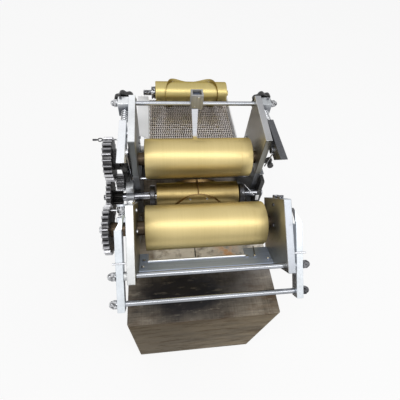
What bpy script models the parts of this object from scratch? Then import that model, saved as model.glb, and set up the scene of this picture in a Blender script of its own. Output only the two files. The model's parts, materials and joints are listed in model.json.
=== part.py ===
import math

import bmesh
import bpy
from mathutils import Matrix, Vector

MM = 0.001

# Table-top tortilla maker: sheeting rollers, cutting drum and discharge belt over a drive cabinet.
# X runs along the rollers, Y runs from the operator to the belt's far end, Z is up, origin under the cabinet.

# Clearances between neighbouring pieces
TOUCH_GAP = 0.3 * MM
RUN_GAP = 0.3 * MM
WELD = 0.01 * MM
QUARTER = 90

# Cabinet
BASE_WIDTH = 352 * MM
BASE_DEPTH = 450 * MM
BASE_HEIGHT = 378 * MM
BASE_SHEET = 1.5 * MM
BASE_CORNER = 4 * MM
COVER_SHEET = 2 * MM

# Sheeting rollers
ROLLER_SIDE_ROOM = 16 * MM
ROLLER_RADIUS = 47 * MM
ROLLER_EDGE = 1 * MM
JOURNAL_RADIUS = 15 * MM
ROLLER_SETBACK = 106 * MM
ROLLER_RISE = 179 * MM
NIP = 2 * MM
ROLLER_SEGMENTS = 44

# Side plates
PLATE_FROM_SIDE = 20 * MM
PLATE_THICKNESS = 15 * MM
SPLIT_DROP = 25 * MM
REAR_PLATE_FRONT = 34 * MM
REAR_PLATE_DEPTH = 137 * MM
PLATE_SLOPE_RISE = 16 * MM
PLATE_OVER_ROD = 15 * MM
FRONT_PLATE_DEPTH = 140 * MM
PLATE_PARTING = 8 * MM
FLANGE_WIDTH = 24 * MM
FLANGE_THICKNESS = 4 * MM
PLATE_EDGE = 0.8 * MM

# Front head: swings forward on two pins low in the cheeks
HEAD_PIVOT_DY = -8 * MM
HEAD_PIVOT_DZ = -127 * MM
HEAD_OPEN_DEG = 38
LEG_TOP_DEPTH = 62 * MM
LEG_TOP_FORWARD = 38 * MM
LEG_EAR_RADIUS = 20 * MM
BRACKET_THICKNESS = 11.5 * MM
BRACKET_FOOT_HEIGHT = 32 * MM
BRACKET_LENGTH = 168 * MM
PIVOT_PIN_RADIUS = 7 * MM
PIVOT_HEAD_RADIUS = 11 * MM
PIVOT_HEAD = 5 * MM

# Gears
GEAR_TEETH = 24
GEAR_MODULE = 4 * MM
TAKEOFF_TEETH = 16
PINION_TEETH = 20
SMALL_MODULE = 2 * MM
BACKLASH = 0.7 * MM
PRESSURE_DEG = 20
REAR_GEAR_OUT = 40.3 * MM
REAR_GEAR_WIDTH = 19.7 * MM
FRONT_GEAR_OUT = 37.5 * MM
FRONT_GEAR_WIDTH = 13 * MM
TAKEOFF_OUT = 28 * MM
TAKEOFF_WIDTH = 22.5 * MM
DIE_GEAR_WIDTH = 11.2 * MM
PINION_OUT = 22 * MM
PINION_WIDTH = 17.8 * MM
PINION_ANGLE_DEG = 45
GEAR_HUB_RADIUS = 24 * MM
GEAR_HUB = 14 * MM
SHAFT_TIP = 4 * MM

# Cutting drum
DRUM_SHORTER = 46 * MM
DRUM_RADIUS = 31 * MM
COLLAR_RADIUS = 27 * MM
COLLAR_GAP = 4 * MM
COLLAR_WIDTH = 12 * MM
DIE_SHAFT_RADIUS = 10 * MM
RING_RADIUS = 76 * MM
RIB_WIDTH = 2.5 * MM
RIB_HEIGHT = 7.5 * MM
RIB_STEPS = 56
SEAM_STEPS = 10
SEAM_OVERRUN = 0.4 * MM
DIE_RING_DEG = 56.6
SPARE_RING_DEG = 164.5

# Bearing housings of the cutting drum
HOUSING_FRONT = 22 * MM
HOUSING_BACK = 46 * MM
HOUSING_DOWN = 56 * MM
HOUSING_UP = 17 * MM
HOUSING_CORNER = 18 * MM
HOUSING_LEFT_THICKNESS = 18.5 * MM
HOUSING_RIGHT_THICKNESS = 9.3 * MM
HOUSING_RIGHT_FRONT = 14 * MM
HOUSING_EAR_FRONT = 4 * MM
HOUSING_EAR_DEPTH = 26 * MM
HOUSING_EAR_UP = 48 * MM
HOUSING_EAR_CORNER = 3 * MM

# Cross bar between the lower plates
CROSS_BAR_BACK = 39 * MM
CROSS_BAR_UP = 22 * MM
CROSS_BAR_RADIUS = 3.5 * MM

# Discharge belt
BELT_LEFT_ROOM = 24 * MM
BELT_RIGHT_ROOM = 21 * MM
BELT_THICKNESS = 1.6 * MM
BELT_ROLLER_RADIUS = 12 * MM
BELT_START = 46 * MM
BELT_RUN = 235 * MM
BELT_TOP_DROP = 42 * MM
BELT_ARC_STEPS = 12
BELT_SHAFT_RADIUS = 4 * MM
RAIL_GAP = 1.5 * MM
RAIL_SHEET = 3 * MM
RAIL_OVERHANG = 12 * MM
RAIL_DROP = 30 * MM
RAIL_RISE = 6 * MM
WING_SHEET = 2 * MM
WING_WIDTH = 28 * MM
WING_GAP = 5 * MM
WING_TAPER = 20 * MM
BOSS_RADIUS = 8 * MM
BOSS_FROM_ROLLER = (16 * MM, 44 * MM)

# Spare drum lying across the belt's far end
SPARE_X = 6 * MM
SPARE_FROM_END = 17 * MM
SPARE_LEFT_STUB = 35 * MM
SPARE_RIGHT_STUB = 8 * MM
SPARE_STUB_RADIUS = 8 * MM
SPARE_HUB_RADIUS = 17 * MM
SPARE_HUB = 12 * MM

# Tie rods and acorn nuts
ROD_RADIUS = 5 * MM
NUT_RADIUS = 9.2 * MM
NUT_HEX = 9 * MM
NUT_DOME_RADIUS = 7.2 * MM
ROD_BACK = 92 * MM
ROD_RISE = 88 * MM

# Draw arms, their guides, springs and knobs
ARM_OUT = 4.5 * MM
ARM_WIDTH = 16 * MM
ARM_LENGTH = 128 * MM
ARM_HEIGHT = 30 * MM
ARM_SLOPE_RUN = 25 * MM
ARM_NOSE = 2 * MM
ARM_OVER_SCREW = 8 * MM
ARM_TRAVEL = 3 * MM
GUIDE_FROM_BACK = (78 * MM, 20 * MM)
GUIDE_DROP = 14 * MM
GUIDE_RADIUS = 4 * MM
GUIDE_BOSS_RADIUS = 8 * MM
GUIDE_HEAD_RADIUS = 6 * MM
GUIDE_HEAD = 2 * MM
SCREW_OUT = 10.5 * MM
SCREW_DROP = 12 * MM
SCREW_RADIUS = 3.5 * MM
SCREW_BITE = 24 * MM
SPRING_ROOM = 41 * MM
LUG_WIDTH = 24.7 * MM
LUG_BEFORE_ROD = 12 * MM
LUG_BEHIND_ROD = 15 * MM
LUG_UNDER_SCREW = 15 * MM
KNOB_RADIUS = 26 * MM
KNOB_LOBES = 7
KNOB_LOBE_DEPTH = 3.5 * MM
KNOB_THICKNESS = 14 * MM
KNOB_OFFSET = 4 * MM
KNOB_HUB_RADIUS = 10 * MM
DRAW_SPRING_RADIUS = 7.5 * MM
DRAW_SPRING_WIRE = 1.2 * MM
DRAW_SPRING_CURLS = 5

# Clamp levers on the front head
LEVER_OUT = 7 * MM
LEVER_WIDTH = 13.5 * MM
LEVER_BOTTOM = 68 * MM
LEVER_HEIGHT = 22 * MM
TONGUE_START = -10.2 * MM
TONGUE_END = -36.6 * MM
TONGUE_TIP = 1.5 * MM
TONGUE_TIP_WIDTH = 4 * MM
TONGUE_BITE = 2 * MM
TONGUE_INSET = 0.6 * MM
TONGUE_ROOM = 2.5 * MM
LEVER_END = 140 * MM
CLAMP_ROD_U = 75 * MM
CLAMP_ROD_W = 82.5 * MM
HANDLE_U = 128 * MM
HANDLE_W = 77.5 * MM

# Spring buffers between the head and the fixed plates
BUFFER_SIDE = 14 * MM
BUFFER_RISE = 10 * MM
BUFFER_LUG_BACK = 26 * MM
BUFFER_LUG_DEPTH = 10 * MM
BUFFER_LUG_HALF = 11 * MM
BUFFER_REACH = 26 * MM
BUFFER_HEAD = 4 * MM
BUFFER_HEAD_RADIUS = 11 * MM
BUFFER_PIN_RADIUS = 4 * MM
BUFFER_SPRING_RADIUS = 8.5 * MM
BUFFER_SPRING_WIRE = 1.2 * MM
BUFFER_SPRING_CURLS = 4
STOP_DEPTH = 24 * MM
STOP_HALF = 8.5 * MM
STOP_GAP = 2 * MM

# Scraper panel under the front roller, in head coordinates
PANEL_OUT = (86.3 * MM, 25.9 * MM)
PANEL_IN = (60.5 * MM, -14.8 * MM)
PANEL_THICKNESS = 4 * MM
PANEL_STRIP = 29 * MM
PANEL_LEFT_CHEEK = 18.5 * MM
PANEL_RIGHT_CHEEK = 55 * MM
BLADE_THICKNESS = 1.5 * MM
BLADE_BACK = 12 * MM
BLADE_NOTCH_X = -25.5 * MM
BLADE_NOTCH_WIDTH = 9 * MM
BLADE_NOTCH_DEPTH = 8 * MM

# Scraper finger hung on the rear tie rod
CLIP_X = -0.5 * MM
CLIP_WIDTH = 28.4 * MM
CLIP_FRONT = 11 * MM
CLIP_BACK = 14 * MM
CLIP_DOWN = 8.5 * MM
CLIP_UP = 29 * MM
FINGER_X = -5 * MM
FINGER_TOP_WIDTH = 15 * MM
FINGER_TIP_WIDTH = 9 * MM
FINGER_SHEET = 1.5 * MM
FINGER_ANGLE_DEG = 31

# Pull pin in the left draw arm: rod, small ring and grip in one piece
PULL_FROM_BACK = 47 * MM
PULL_UNDER_SCREW = 6 * MM
PULL_RADIUS = 1.5 * MM
PULL_BITE = 12 * MM
PULL_REACH = 38.6 * MM
PULL_RING_RADIUS = 4.5 * MM
PULL_RING_WIRE = 1.3 * MM
PULL_GRIP = 12 * MM
PULL_GRIP_RADIUS = 2.2 * MM

# Positions that follow from the sizes above
PLATE_OUTER_X = BASE_WIDTH / 2 - PLATE_FROM_SIDE
PLATE_INNER_X = PLATE_OUTER_X - PLATE_THICKNESS
ROLLER_LENGTH = 2 * (PLATE_INNER_X - ROLLER_SIDE_ROOM)
DRUM_LENGTH = ROLLER_LENGTH - DRUM_SHORTER
COLLAR_INNER_X = DRUM_LENGTH / 2 + COLLAR_GAP
COLLAR_OUTER_X = COLLAR_INNER_X + COLLAR_WIDTH
REAR_ROLLER_Y = ROLLER_SETBACK
REAR_ROLLER_Z = BASE_HEIGHT + ROLLER_RISE
CENTRES = 2 * ROLLER_RADIUS + NIP
FRONT_ROLLER_Y = REAR_ROLLER_Y - CENTRES
FRONT_ROLLER_Z = REAR_ROLLER_Z
DIE_Y = (REAR_ROLLER_Y + FRONT_ROLLER_Y) / 2
DIE_Z = REAR_ROLLER_Z - math.sqrt((GEAR_TEETH * GEAR_MODULE) ** 2 - (CENTRES / 2) ** 2)
PIVOT = Vector((0, FRONT_ROLLER_Y + HEAD_PIVOT_DY, FRONT_ROLLER_Z + HEAD_PIVOT_DZ))
PLATE_SPLIT_Z = REAR_ROLLER_Z - SPLIT_DROP
REAR_PLATE_FRONT_Y = REAR_ROLLER_Y - REAR_PLATE_FRONT
REAR_PLATE_BACK_Y = REAR_PLATE_FRONT_Y + REAR_PLATE_DEPTH
FRONT_PLATE_BACK_Y = REAR_PLATE_FRONT_Y - PLATE_PARTING
FRONT_PLATE_FRONT_Y = FRONT_PLATE_BACK_Y - FRONT_PLATE_DEPTH
PLATE_BOTTOM_Z = PLATE_SPLIT_Z + TOUCH_GAP
PINION_DISTANCE = (TAKEOFF_TEETH + PINION_TEETH) / 2 * SMALL_MODULE
PINION_Y = DIE_Y + PINION_DISTANCE * math.cos(math.radians(PINION_ANGLE_DEG))
PINION_Z = DIE_Z + PINION_DISTANCE * math.sin(math.radians(PINION_ANGLE_DEG))
DIE_SHAFT_RIGHT_X = PLATE_OUTER_X + TOUCH_GAP + HOUSING_RIGHT_THICKNESS + SHAFT_TIP
BELT_LEFT_X = -PLATE_INNER_X + BELT_LEFT_ROOM
BELT_RIGHT_X = PLATE_INNER_X - BELT_RIGHT_ROOM
CROSS_BAR_Y = DIE_Y + CROSS_BAR_BACK
CROSS_BAR_Z = DIE_Z + CROSS_BAR_UP
BELT_FRONT_Y = REAR_ROLLER_Y + BELT_START
BELT_REAR_Y = BELT_FRONT_Y + BELT_RUN
BELT_TOP_Z = REAR_ROLLER_Z - BELT_TOP_DROP
BELT_RADIUS = BELT_ROLLER_RADIUS + TOUCH_GAP + BELT_THICKNESS
BELT_AXIS_Z = BELT_TOP_Z - BELT_RADIUS
SPARE_Y = BELT_REAR_Y - SPARE_FROM_END
SPARE_Z = BELT_TOP_Z + TOUCH_GAP + DRUM_RADIUS + RIB_HEIGHT
REAR_ROD_Y = REAR_ROLLER_Y + ROD_BACK
REAR_ROD_Z = REAR_ROLLER_Z + ROD_RISE
PLATE_HIGH_Z = REAR_ROD_Z + PLATE_OVER_ROD
PLATE_LOW_Z = PLATE_HIGH_Z - PLATE_SLOPE_RISE
LUG_INNER_X = PLATE_OUTER_X + TOUCH_GAP
LUG_OUTER_X = LUG_INNER_X + LUG_WIDTH
LUG_FRONT_Y = REAR_ROD_Y - LUG_BEFORE_ROD
LUG_BACK_Y = REAR_ROD_Y + LUG_BEHIND_ROD
SCREW_X = PLATE_OUTER_X + SCREW_OUT
SCREW_Z = REAR_ROD_Z - SCREW_DROP
ARM_INNER_X = PLATE_OUTER_X + ARM_OUT
ARM_BACK_Y = LUG_FRONT_Y - SPRING_ROOM
ARM_FRONT_Y = ARM_BACK_Y - ARM_LENGTH
ARM_TOP_Z = SCREW_Z + ARM_OVER_SCREW
ARM_BOTTOM_Z = ARM_TOP_Z - ARM_HEIGHT
GUIDE_Y = [ARM_BACK_Y - back for back in GUIDE_FROM_BACK]
GUIDE_Z = SCREW_Z - GUIDE_DROP
LEVER_INNER_X = PLATE_OUTER_X + LEVER_OUT
BUFFER_X = LUG_INNER_X + BUFFER_SIDE
BUFFER_Z = REAR_ROLLER_Z + BUFFER_RISE
BUFFER_LUG_BACK_Y = FRONT_ROLLER_Y + BUFFER_LUG_BACK
BUFFER_LUG_FRONT_Y = BUFFER_LUG_BACK_Y - BUFFER_LUG_DEPTH
BUFFER_HEAD_BACK_Y = BUFFER_LUG_BACK_Y + BUFFER_REACH
STOP_FRONT_Y = BUFFER_HEAD_BACK_Y + STOP_GAP
PULL_Y = ARM_BACK_Y - PULL_FROM_BACK
PULL_Z = SCREW_Z - PULL_UNDER_SCREW
PULL_INNER_X = -ARM_INNER_X - ARM_WIDTH + PULL_BITE
PULL_RING_X = -ARM_INNER_X - ARM_WIDTH - PULL_REACH


def gear_reach(out, width):
    # Gears stand on the left, counted outward from the plate's outer face.
    return -PLATE_OUTER_X - out - width, -PLATE_OUTER_X - out


REAR_GEAR_X = gear_reach(REAR_GEAR_OUT, REAR_GEAR_WIDTH)
FRONT_GEAR_X = gear_reach(FRONT_GEAR_OUT, FRONT_GEAR_WIDTH)
TAKEOFF_GEAR_X = gear_reach(TAKEOFF_OUT, TAKEOFF_WIDTH)
DIE_GEAR_X = gear_reach(TAKEOFF_OUT + TAKEOFF_WIDTH + TOUCH_GAP, DIE_GEAR_WIDTH)
PINION_X = gear_reach(PINION_OUT, PINION_WIDTH)


def head_point(u, w):
    # Head coordinates count outward and up from the front roller's axis; this gives the closed position.
    return FRONT_ROLLER_Y - u, FRONT_ROLLER_Z + w


for item in list(bpy.data.objects):
    bpy.data.objects.remove(item, do_unlink=True)

parts = bpy.data.collections.new("tortilla_maker")
cutters = bpy.data.collections.new("cutters")
bpy.context.scene.collection.children.link(parts)
bpy.context.scene.collection.children.link(cutters)


def surface(name, colour, roughness, metallic):
    made = bpy.data.materials.new(name)
    made.use_nodes = True
    shader = made.node_tree.nodes["Principled BSDF"]
    shader.inputs["Base Color"].default_value = (*colour, 1)
    shader.inputs["Roughness"].default_value = roughness
    shader.inputs["Metallic"].default_value = metallic
    return made


STAINLESS = ((0.32, 0.30, 0.27), 0.35, 1.0)
BRASS = ((0.78, 0.62, 0.28), 0.28, 1.0)
CAST_ALLOY = ((0.72, 0.74, 0.77), 0.42, 1.0)
BRIGHT_STEEL = ((0.80, 0.81, 0.83), 0.2, 1.0)
DARK_STEEL = ((0.10, 0.10, 0.11), 0.4, 1.0)
GEAR_STEEL = ((0.16, 0.16, 0.17), 0.38, 1.0)
BLACK_PLASTIC = ((0.012, 0.012, 0.012), 0.45, 0.0)
BLACK_PAINT = ((0.02, 0.02, 0.022), 0.5, 0.0)
WIRE_MESH = ((0.28, 0.24, 0.20), 0.45, 1.0)
WHITE_PAINT = ((0.82, 0.83, 0.84), 0.4, 0.0)
SPRING_STEEL = ((0.45, 0.45, 0.47), 0.3, 1.0)


def settle(made, look, at, parent=None):
    made.data.materials.clear()
    made.data.materials.append(surface(made.name + "_finish", *look))
    if parent is None:
        made.location = at
    else:
        made.parent = parent
        made.location = at - Vector(parent["closed_at"])
    return made


def soften(made):
    made.data.shade_smooth()
    made.data.set_sharp_from_angle(angle=math.radians(35))


def new_object(name, mesh, collection=parts):
    made = bpy.data.objects.new(name, mesh)
    collection.objects.link(made)
    return made


def mesh_from(name, build):
    grid = bmesh.new()
    build(grid)
    bmesh.ops.remove_doubles(grid, verts=grid.verts, dist=WELD)
    bmesh.ops.recalc_face_normals(grid, faces=grid.faces)
    mesh = bpy.data.meshes.new(name)
    grid.to_mesh(mesh)
    grid.free()
    return mesh


def turn_to(axis):
    # Takes a shape drawn in local XY with its depth along local Z to the wanted world axis.
    if axis == "X":
        return Matrix(((0, 0, 1), (1, 0, 0), (0, 1, 0))).to_4x4()
    if axis == "Y":
        return Matrix(((1, 0, 0), (0, 0, -1), (0, 1, 0))).to_4x4()
    return Matrix.Identity(4)


def slab_mesh(name, loops, low, high, axis, at):
    # Filled outline with holes, pulled between two levels of one axis; at is the object's origin.
    curve = bpy.data.curves.new(name + "_outline", "CURVE")
    curve.dimensions = "2D"
    curve.fill_mode = "BOTH"
    curve.extrude = (high - low) / 2
    first, second = {"X": (1, 2), "Y": (0, 2), "Z": (0, 1)}[axis]
    for loop in loops:
        spline = curve.splines.new("POLY")
        spline.points.add(len(loop) - 1)
        for point, (a, b) in zip(spline.points, loop):
            point.co = (a - at[first], b - at[second], 0, 1)
        spline.use_cyclic_u = True
    holder = bpy.data.objects.new(name + "_outline", curve)
    parts.objects.link(holder)
    graph = bpy.context.evaluated_depsgraph_get()
    mesh = bpy.data.meshes.new_from_object(holder.evaluated_get(graph))
    bpy.data.objects.remove(holder, do_unlink=True)
    bpy.data.curves.remove(curve)
    mesh.transform(turn_to(axis))
    middle = (low + high) / 2
    shift = Vector((0, 0, 0))
    depth = {"X": 0, "Y": 1, "Z": 2}[axis]
    shift[depth] = middle - at[depth]
    mesh.transform(Matrix.Translation(shift))
    grid = bmesh.new()
    grid.from_mesh(mesh)
    bmesh.ops.remove_doubles(grid, verts=grid.verts, dist=WELD)
    bmesh.ops.recalc_face_normals(grid, faces=grid.faces)
    grid.to_mesh(mesh)
    grid.free()
    mesh.name = name
    return mesh


def slab(name, loops, low, high, axis, look, at, parent=None, edge=0, collection=parts):
    made = new_object(name, slab_mesh(name, loops, low, high, axis, at), collection)
    if edge:
        trim = made.modifiers.new("edge", "BEVEL")
        trim.width = edge
        trim.segments = 1
        trim.limit_method = "ANGLE"
        trim.angle_limit = math.radians(50)
    return settle(made, look, at, parent)


def box_loop(a_low, a_high, b_low, b_high):
    return [(a_low, b_low), (a_high, b_low), (a_high, b_high), (a_low, b_high)]


def arc(centre, radius, start_deg, stop_deg, steps):
    points = []
    for step in range(steps + 1):
        angle = math.radians(start_deg + (stop_deg - start_deg) * step / steps)
        points.append((centre[0] + radius * math.cos(angle), centre[1] + radius * math.sin(angle)))
    return points


def circle(centre, radius, steps=20):
    full = 4 * QUARTER
    return arc(centre, radius, 0, full - full / steps, steps - 1)


def slot(centre, radius, half_travel, steps=5):
    front = arc((centre[0] - half_travel, centre[1]), radius, QUARTER, 3 * QUARTER, steps)
    back = arc((centre[0] + half_travel, centre[1]), radius, -QUARTER, QUARTER, steps)
    return front + back


def turned_mesh(name, outline, steps, closed=False):
    # Outline of (radius, height) from top to bottom, spun about local Z.
    mesh = bpy.data.meshes.new(name)
    edges = [(k, k + 1) for k in range(len(outline) - 1)]
    if closed:
        edges.append((len(outline) - 1, 0))
    mesh.from_pydata([(radius, 0, height) for radius, height in outline], edges, [])
    made = bpy.data.objects.new(name + "_spin", mesh)
    parts.objects.link(made)
    spin = made.modifiers.new("spin", "SCREW")
    spin.axis = "Z"
    spin.steps = steps
    spin.render_steps = steps
    spin.use_merge_vertices = True
    spin.merge_threshold = WELD
    spin.use_normal_calculate = True
    graph = bpy.context.evaluated_depsgraph_get()
    spun = bpy.data.meshes.new_from_object(made.evaluated_get(graph))
    bpy.data.objects.remove(made, do_unlink=True)
    bpy.data.meshes.remove(mesh)
    grid = bmesh.new()
    grid.from_mesh(spun)
    bmesh.ops.remove_doubles(grid, verts=grid.verts, dist=WELD)
    bmesh.ops.recalc_face_normals(grid, faces=grid.faces)
    grid.to_mesh(spun)
    grid.free()
    spun.name = name
    return spun


def turned(name, outline, axis, look, at, parent=None, steps=32, closed=False):
    mesh = turned_mesh(name, outline, steps, closed)
    mesh.transform(turn_to(axis))
    made = new_object(name, mesh)
    soften(made)
    return settle(made, look, at, parent)


def combine(made, other, operation):
    change = made.modifiers.new(operation.lower(), "BOOLEAN")
    change.operation = operation
    change.solver = "EXACT"
    change.object = other
    other.hide_render = True
    other.display_type = "WIRE"


def cutter_slab(name, loops, low, high, axis, at, parent=None):
    return slab(name, loops, low, high, axis, BLACK_PAINT, at, parent, collection=cutters)


def involute(angle):
    return math.tan(angle) - angle


def tooth_outline(teeth, module, phase_deg, centre):
    pitch = teeth * module / 2
    base = pitch * math.cos(math.radians(PRESSURE_DEG))
    tip = pitch + module
    root = pitch - 1.25 * module
    half = math.pi / (2 * teeth) - BACKLASH / (4 * pitch) * 2
    at_pitch = half + involute(math.radians(PRESSURE_DEG))
    levels = [root, pitch, tip]
    points = []
    for tooth in range(teeth):
        middle = math.radians(phase_deg) + 2 * math.pi * tooth / teeth
        flank = []
        for level in levels:
            lean = at_pitch - involute(math.acos(base / max(level, base)))
            flank.append((level, lean))
        for level, lean in flank:
            points.append((middle - lean, level))
        for level, lean in reversed(flank):
            points.append((middle + lean, level))
    return [(centre[0] + level * math.cos(turn), centre[1] + level * math.sin(turn))
            for turn, level in points]


def gear(name, teeth, module, reach, bore, phase_deg, at, parent=None):
    centre = (at[1], at[2])
    loops = [tooth_outline(teeth, module, phase_deg, centre), circle(centre, bore + RUN_GAP)]
    made = slab(name, loops, reach[0], reach[1], "X", GEAR_STEEL, at, parent)
    soften(made)
    return made


def mesh_phase(partner_phase, partner_teeth, teeth, direction):
    # Turns a gear so that its gap faces the partner's tooth; direction runs from the partner to this gear.
    lean = partner_teeth / teeth * (partner_phase - direction)
    return direction + 2 * QUARTER + 2 * QUARTER / teeth - lean


def spring(name, start, stop, radius, wire, curls, at, parent=None):
    # One unbroken wire along Y whose two ends stand square on their seats.
    per_curl = 9
    lead = 2 * wire
    path = [Vector((radius, start, 0))]
    steps = per_curl * curls
    run = stop - start - 2 * lead
    for step in range(steps + 1):
        angle = 2 * math.pi * step / per_curl
        along = start + lead + run * step / steps
        path.append(Vector((radius * math.cos(angle), along, radius * math.sin(angle))))
    path.append(Vector((path[-1][0], stop, path[-1][2])))
    pitch = run / curls
    print(name, "least gap between neighbouring curls in mm:", round((pitch - 2 * wire) / MM, 2))
    curve = bpy.data.curves.new(name, "CURVE")
    curve.dimensions = "3D"
    curve.bevel_depth = wire
    curve.bevel_resolution = 1
    curve.use_fill_caps = True
    spline = curve.splines.new("POLY")
    spline.points.add(len(path) - 1)
    for point, place in zip(spline.points, path):
        point.co = (*place, 1)
    holder = bpy.data.objects.new(name + "_path", curve)
    parts.objects.link(holder)
    graph = bpy.context.evaluated_depsgraph_get()
    mesh = bpy.data.meshes.new_from_object(holder.evaluated_get(graph))
    bpy.data.objects.remove(holder, do_unlink=True)
    bpy.data.curves.remove(curve)
    grid = bmesh.new()
    grid.from_mesh(mesh)
    bmesh.ops.remove_doubles(grid, verts=grid.verts, dist=WELD)
    bmesh.ops.recalc_face_normals(grid, faces=grid.faces)
    grid.to_mesh(mesh)
    grid.free()
    made = new_object(name, mesh)
    soften(made)
    return settle(made, SPRING_STEEL, at, parent)


def pivot_empty(name, at, parent=None, turn_deg=0):
    holder = bpy.data.objects.new(name, None)
    parts.objects.link(holder)
    holder["closed_at"] = at
    if parent is None:
        holder.location = at
    else:
        holder.parent = parent
        holder.location = at - Vector(parent["closed_at"])
    holder.rotation_euler = (math.radians(turn_deg), 0, 0)
    return holder


def at_x(y, z, x=0):
    return Vector((x, y, z))


def rounded_box(half_x, half_y, radius):
    loop = []
    for corner, (sign_x, sign_y) in enumerate(((1, 1), (-1, 1), (-1, -1), (1, -1))):
        centre = (sign_x * (half_x - radius), sign_y * (half_y - radius))
        loop += arc(centre, radius, corner * QUARTER, (corner + 1) * QUARTER, 4)
    return loop


def pair(name, build):
    # The same piece on both sides: sign -1 is the left, +1 the right.
    return {sign: build(name + ("_left" if sign < 0 else "_right"), sign) for sign in (-1, 1)}


def span(sign, near, far):
    return (near, far) if sign > 0 else (-far, -near)


# Cabinet: folded box open below, closed by a flush bottom sheet
FLOOR = Vector((0, 0, 0))
base_box = slab("base_box", [rounded_box(BASE_WIDTH / 2, BASE_DEPTH / 2, BASE_CORNER)],
                0, BASE_HEIGHT, "Z", STAINLESS, FLOOR)
inner_x = BASE_WIDTH / 2 - BASE_SHEET
inner_y = BASE_DEPTH / 2 - BASE_SHEET
inner_corner = BASE_CORNER - BASE_SHEET
hollow = cutter_slab("base_hollow", [rounded_box(inner_x, inner_y, inner_corner)],
                     -BASE_SHEET, BASE_HEIGHT - BASE_SHEET, "Z", FLOOR)
combine(base_box, hollow, "DIFFERENCE")
slab("base_cover", [rounded_box(inner_x - TOUCH_GAP, inner_y - TOUCH_GAP, inner_corner - TOUCH_GAP)],
     0, COVER_SHEET, "Z", STAINLESS, FLOOR)

# Lower plates: upright with a flange along the top
PLATE_FLOOR = BASE_HEIGHT + TOUCH_GAP


def flanged_section(sign):
    shape = [(PLATE_INNER_X, PLATE_FLOOR), (PLATE_OUTER_X, PLATE_FLOOR),
             (PLATE_OUTER_X, PLATE_SPLIT_Z - FLANGE_THICKNESS),
             (PLATE_INNER_X + FLANGE_WIDTH, PLATE_SPLIT_Z - FLANGE_THICKNESS),
             (PLATE_INNER_X + FLANGE_WIDTH, PLATE_SPLIT_Z), (PLATE_INNER_X, PLATE_SPLIT_Z)]
    return [(sign * x, z) for x, z in shape]


PINION_SHAFT_RADIUS = 6 * MM
PINION_AT = at_x(PINION_Y, PINION_Z)


def lower_plate(name, sign):
    made = slab(name, [flanged_section(sign)], REAR_PLATE_FRONT_Y, REAR_PLATE_BACK_Y, "Y", CAST_ALLOY,
                at_x(REAR_PLATE_FRONT_Y, PLATE_FLOOR), edge=PLATE_EDGE)
    if sign < 0:
        bore = cutter_slab("pinion_shaft_bore", [circle((PINION_Y, PINION_Z), PINION_SHAFT_RADIUS + RUN_GAP)],
                           -PLATE_OUTER_X - PLATE_THICKNESS, -PLATE_INNER_X + PLATE_THICKNESS, "X", PINION_AT)
        combine(made, bore, "DIFFERENCE")
    return made


pair("lower_plate", lower_plate)

# Rear plates: carry the rear roller and the rear tie rod
REAR_ROLLER_AT = at_x(REAR_ROLLER_Y, REAR_ROLLER_Z)
FRONT_ROLLER_AT = at_x(FRONT_ROLLER_Y, FRONT_ROLLER_Z)
JOURNAL_BORE = JOURNAL_RADIUS + RUN_GAP


def rear_plate(name, sign):
    outline = [(REAR_PLATE_FRONT_Y, PLATE_BOTTOM_Z), (REAR_PLATE_BACK_Y, PLATE_BOTTOM_Z),
               (REAR_PLATE_BACK_Y, PLATE_HIGH_Z), (REAR_PLATE_FRONT_Y, PLATE_LOW_Z)]
    loops = [outline, circle((REAR_ROLLER_Y, REAR_ROLLER_Z), JOURNAL_BORE),
             circle((REAR_ROD_Y, REAR_ROD_Z), ROD_RADIUS + RUN_GAP, 16)]
    low, high = span(sign, PLATE_INNER_X, PLATE_OUTER_X)
    return slab(name, loops, low, high, "X", CAST_ALLOY, REAR_ROLLER_AT, edge=PLATE_EDGE)


pair("rear_plate", rear_plate)


# Head of the machine: everything on it hangs on one empty that is turned open about the pivot
head = pivot_empty("head_pivot", PIVOT, turn_deg=HEAD_OPEN_DEG)


def front_plate(name, sign):
    outline = [(FRONT_PLATE_FRONT_Y, PLATE_BOTTOM_Z), (FRONT_PLATE_BACK_Y, PLATE_BOTTOM_Z),
               (FRONT_PLATE_BACK_Y, PLATE_LOW_Z), (FRONT_PLATE_FRONT_Y, PLATE_HIGH_Z)]
    loops = [outline, circle((FRONT_ROLLER_Y, FRONT_ROLLER_Z), JOURNAL_BORE)]
    low, high = span(sign, PLATE_INNER_X, PLATE_OUTER_X)
    made = slab(name, loops, low, high, "X", CAST_ALLOY, FRONT_ROLLER_AT, head, PLATE_EDGE)
    rod_centre = head_point(CLAMP_ROD_U, CLAMP_ROD_W)
    low, high = span(sign, PLATE_OUTER_X - PLATE_THICKNESS / 2, LEVER_INNER_X - RUN_GAP)
    boss = cutter_slab(name + "_boss", [circle(rod_centre, BOSS_RADIUS, 20)], low, high, "X",
                       FRONT_ROLLER_AT, head)
    low, high = span(sign, PLATE_INNER_X - BOSS_RADIUS, LEVER_INNER_X + BOSS_RADIUS)
    bore = cutter_slab(name + "_bore", [circle(rod_centre, ROD_RADIUS + RUN_GAP, 20)], low, high, "X",
                       FRONT_ROLLER_AT, head)
    combine(made, boss, "UNION")
    combine(made, bore, "DIFFERENCE")
    return made


pair("front_plate", front_plate)

# Legs of the head and the brackets whose pins they turn on
EAR_CENTRE = (PIVOT.y, PIVOT.z)
PIN_BORE = PIVOT_PIN_RADIUS + RUN_GAP
LEG_FRONT_Y = FRONT_ROLLER_Y - LEG_TOP_FORWARD
LEG_BACK_Y = LEG_FRONT_Y + LEG_TOP_DEPTH


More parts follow.
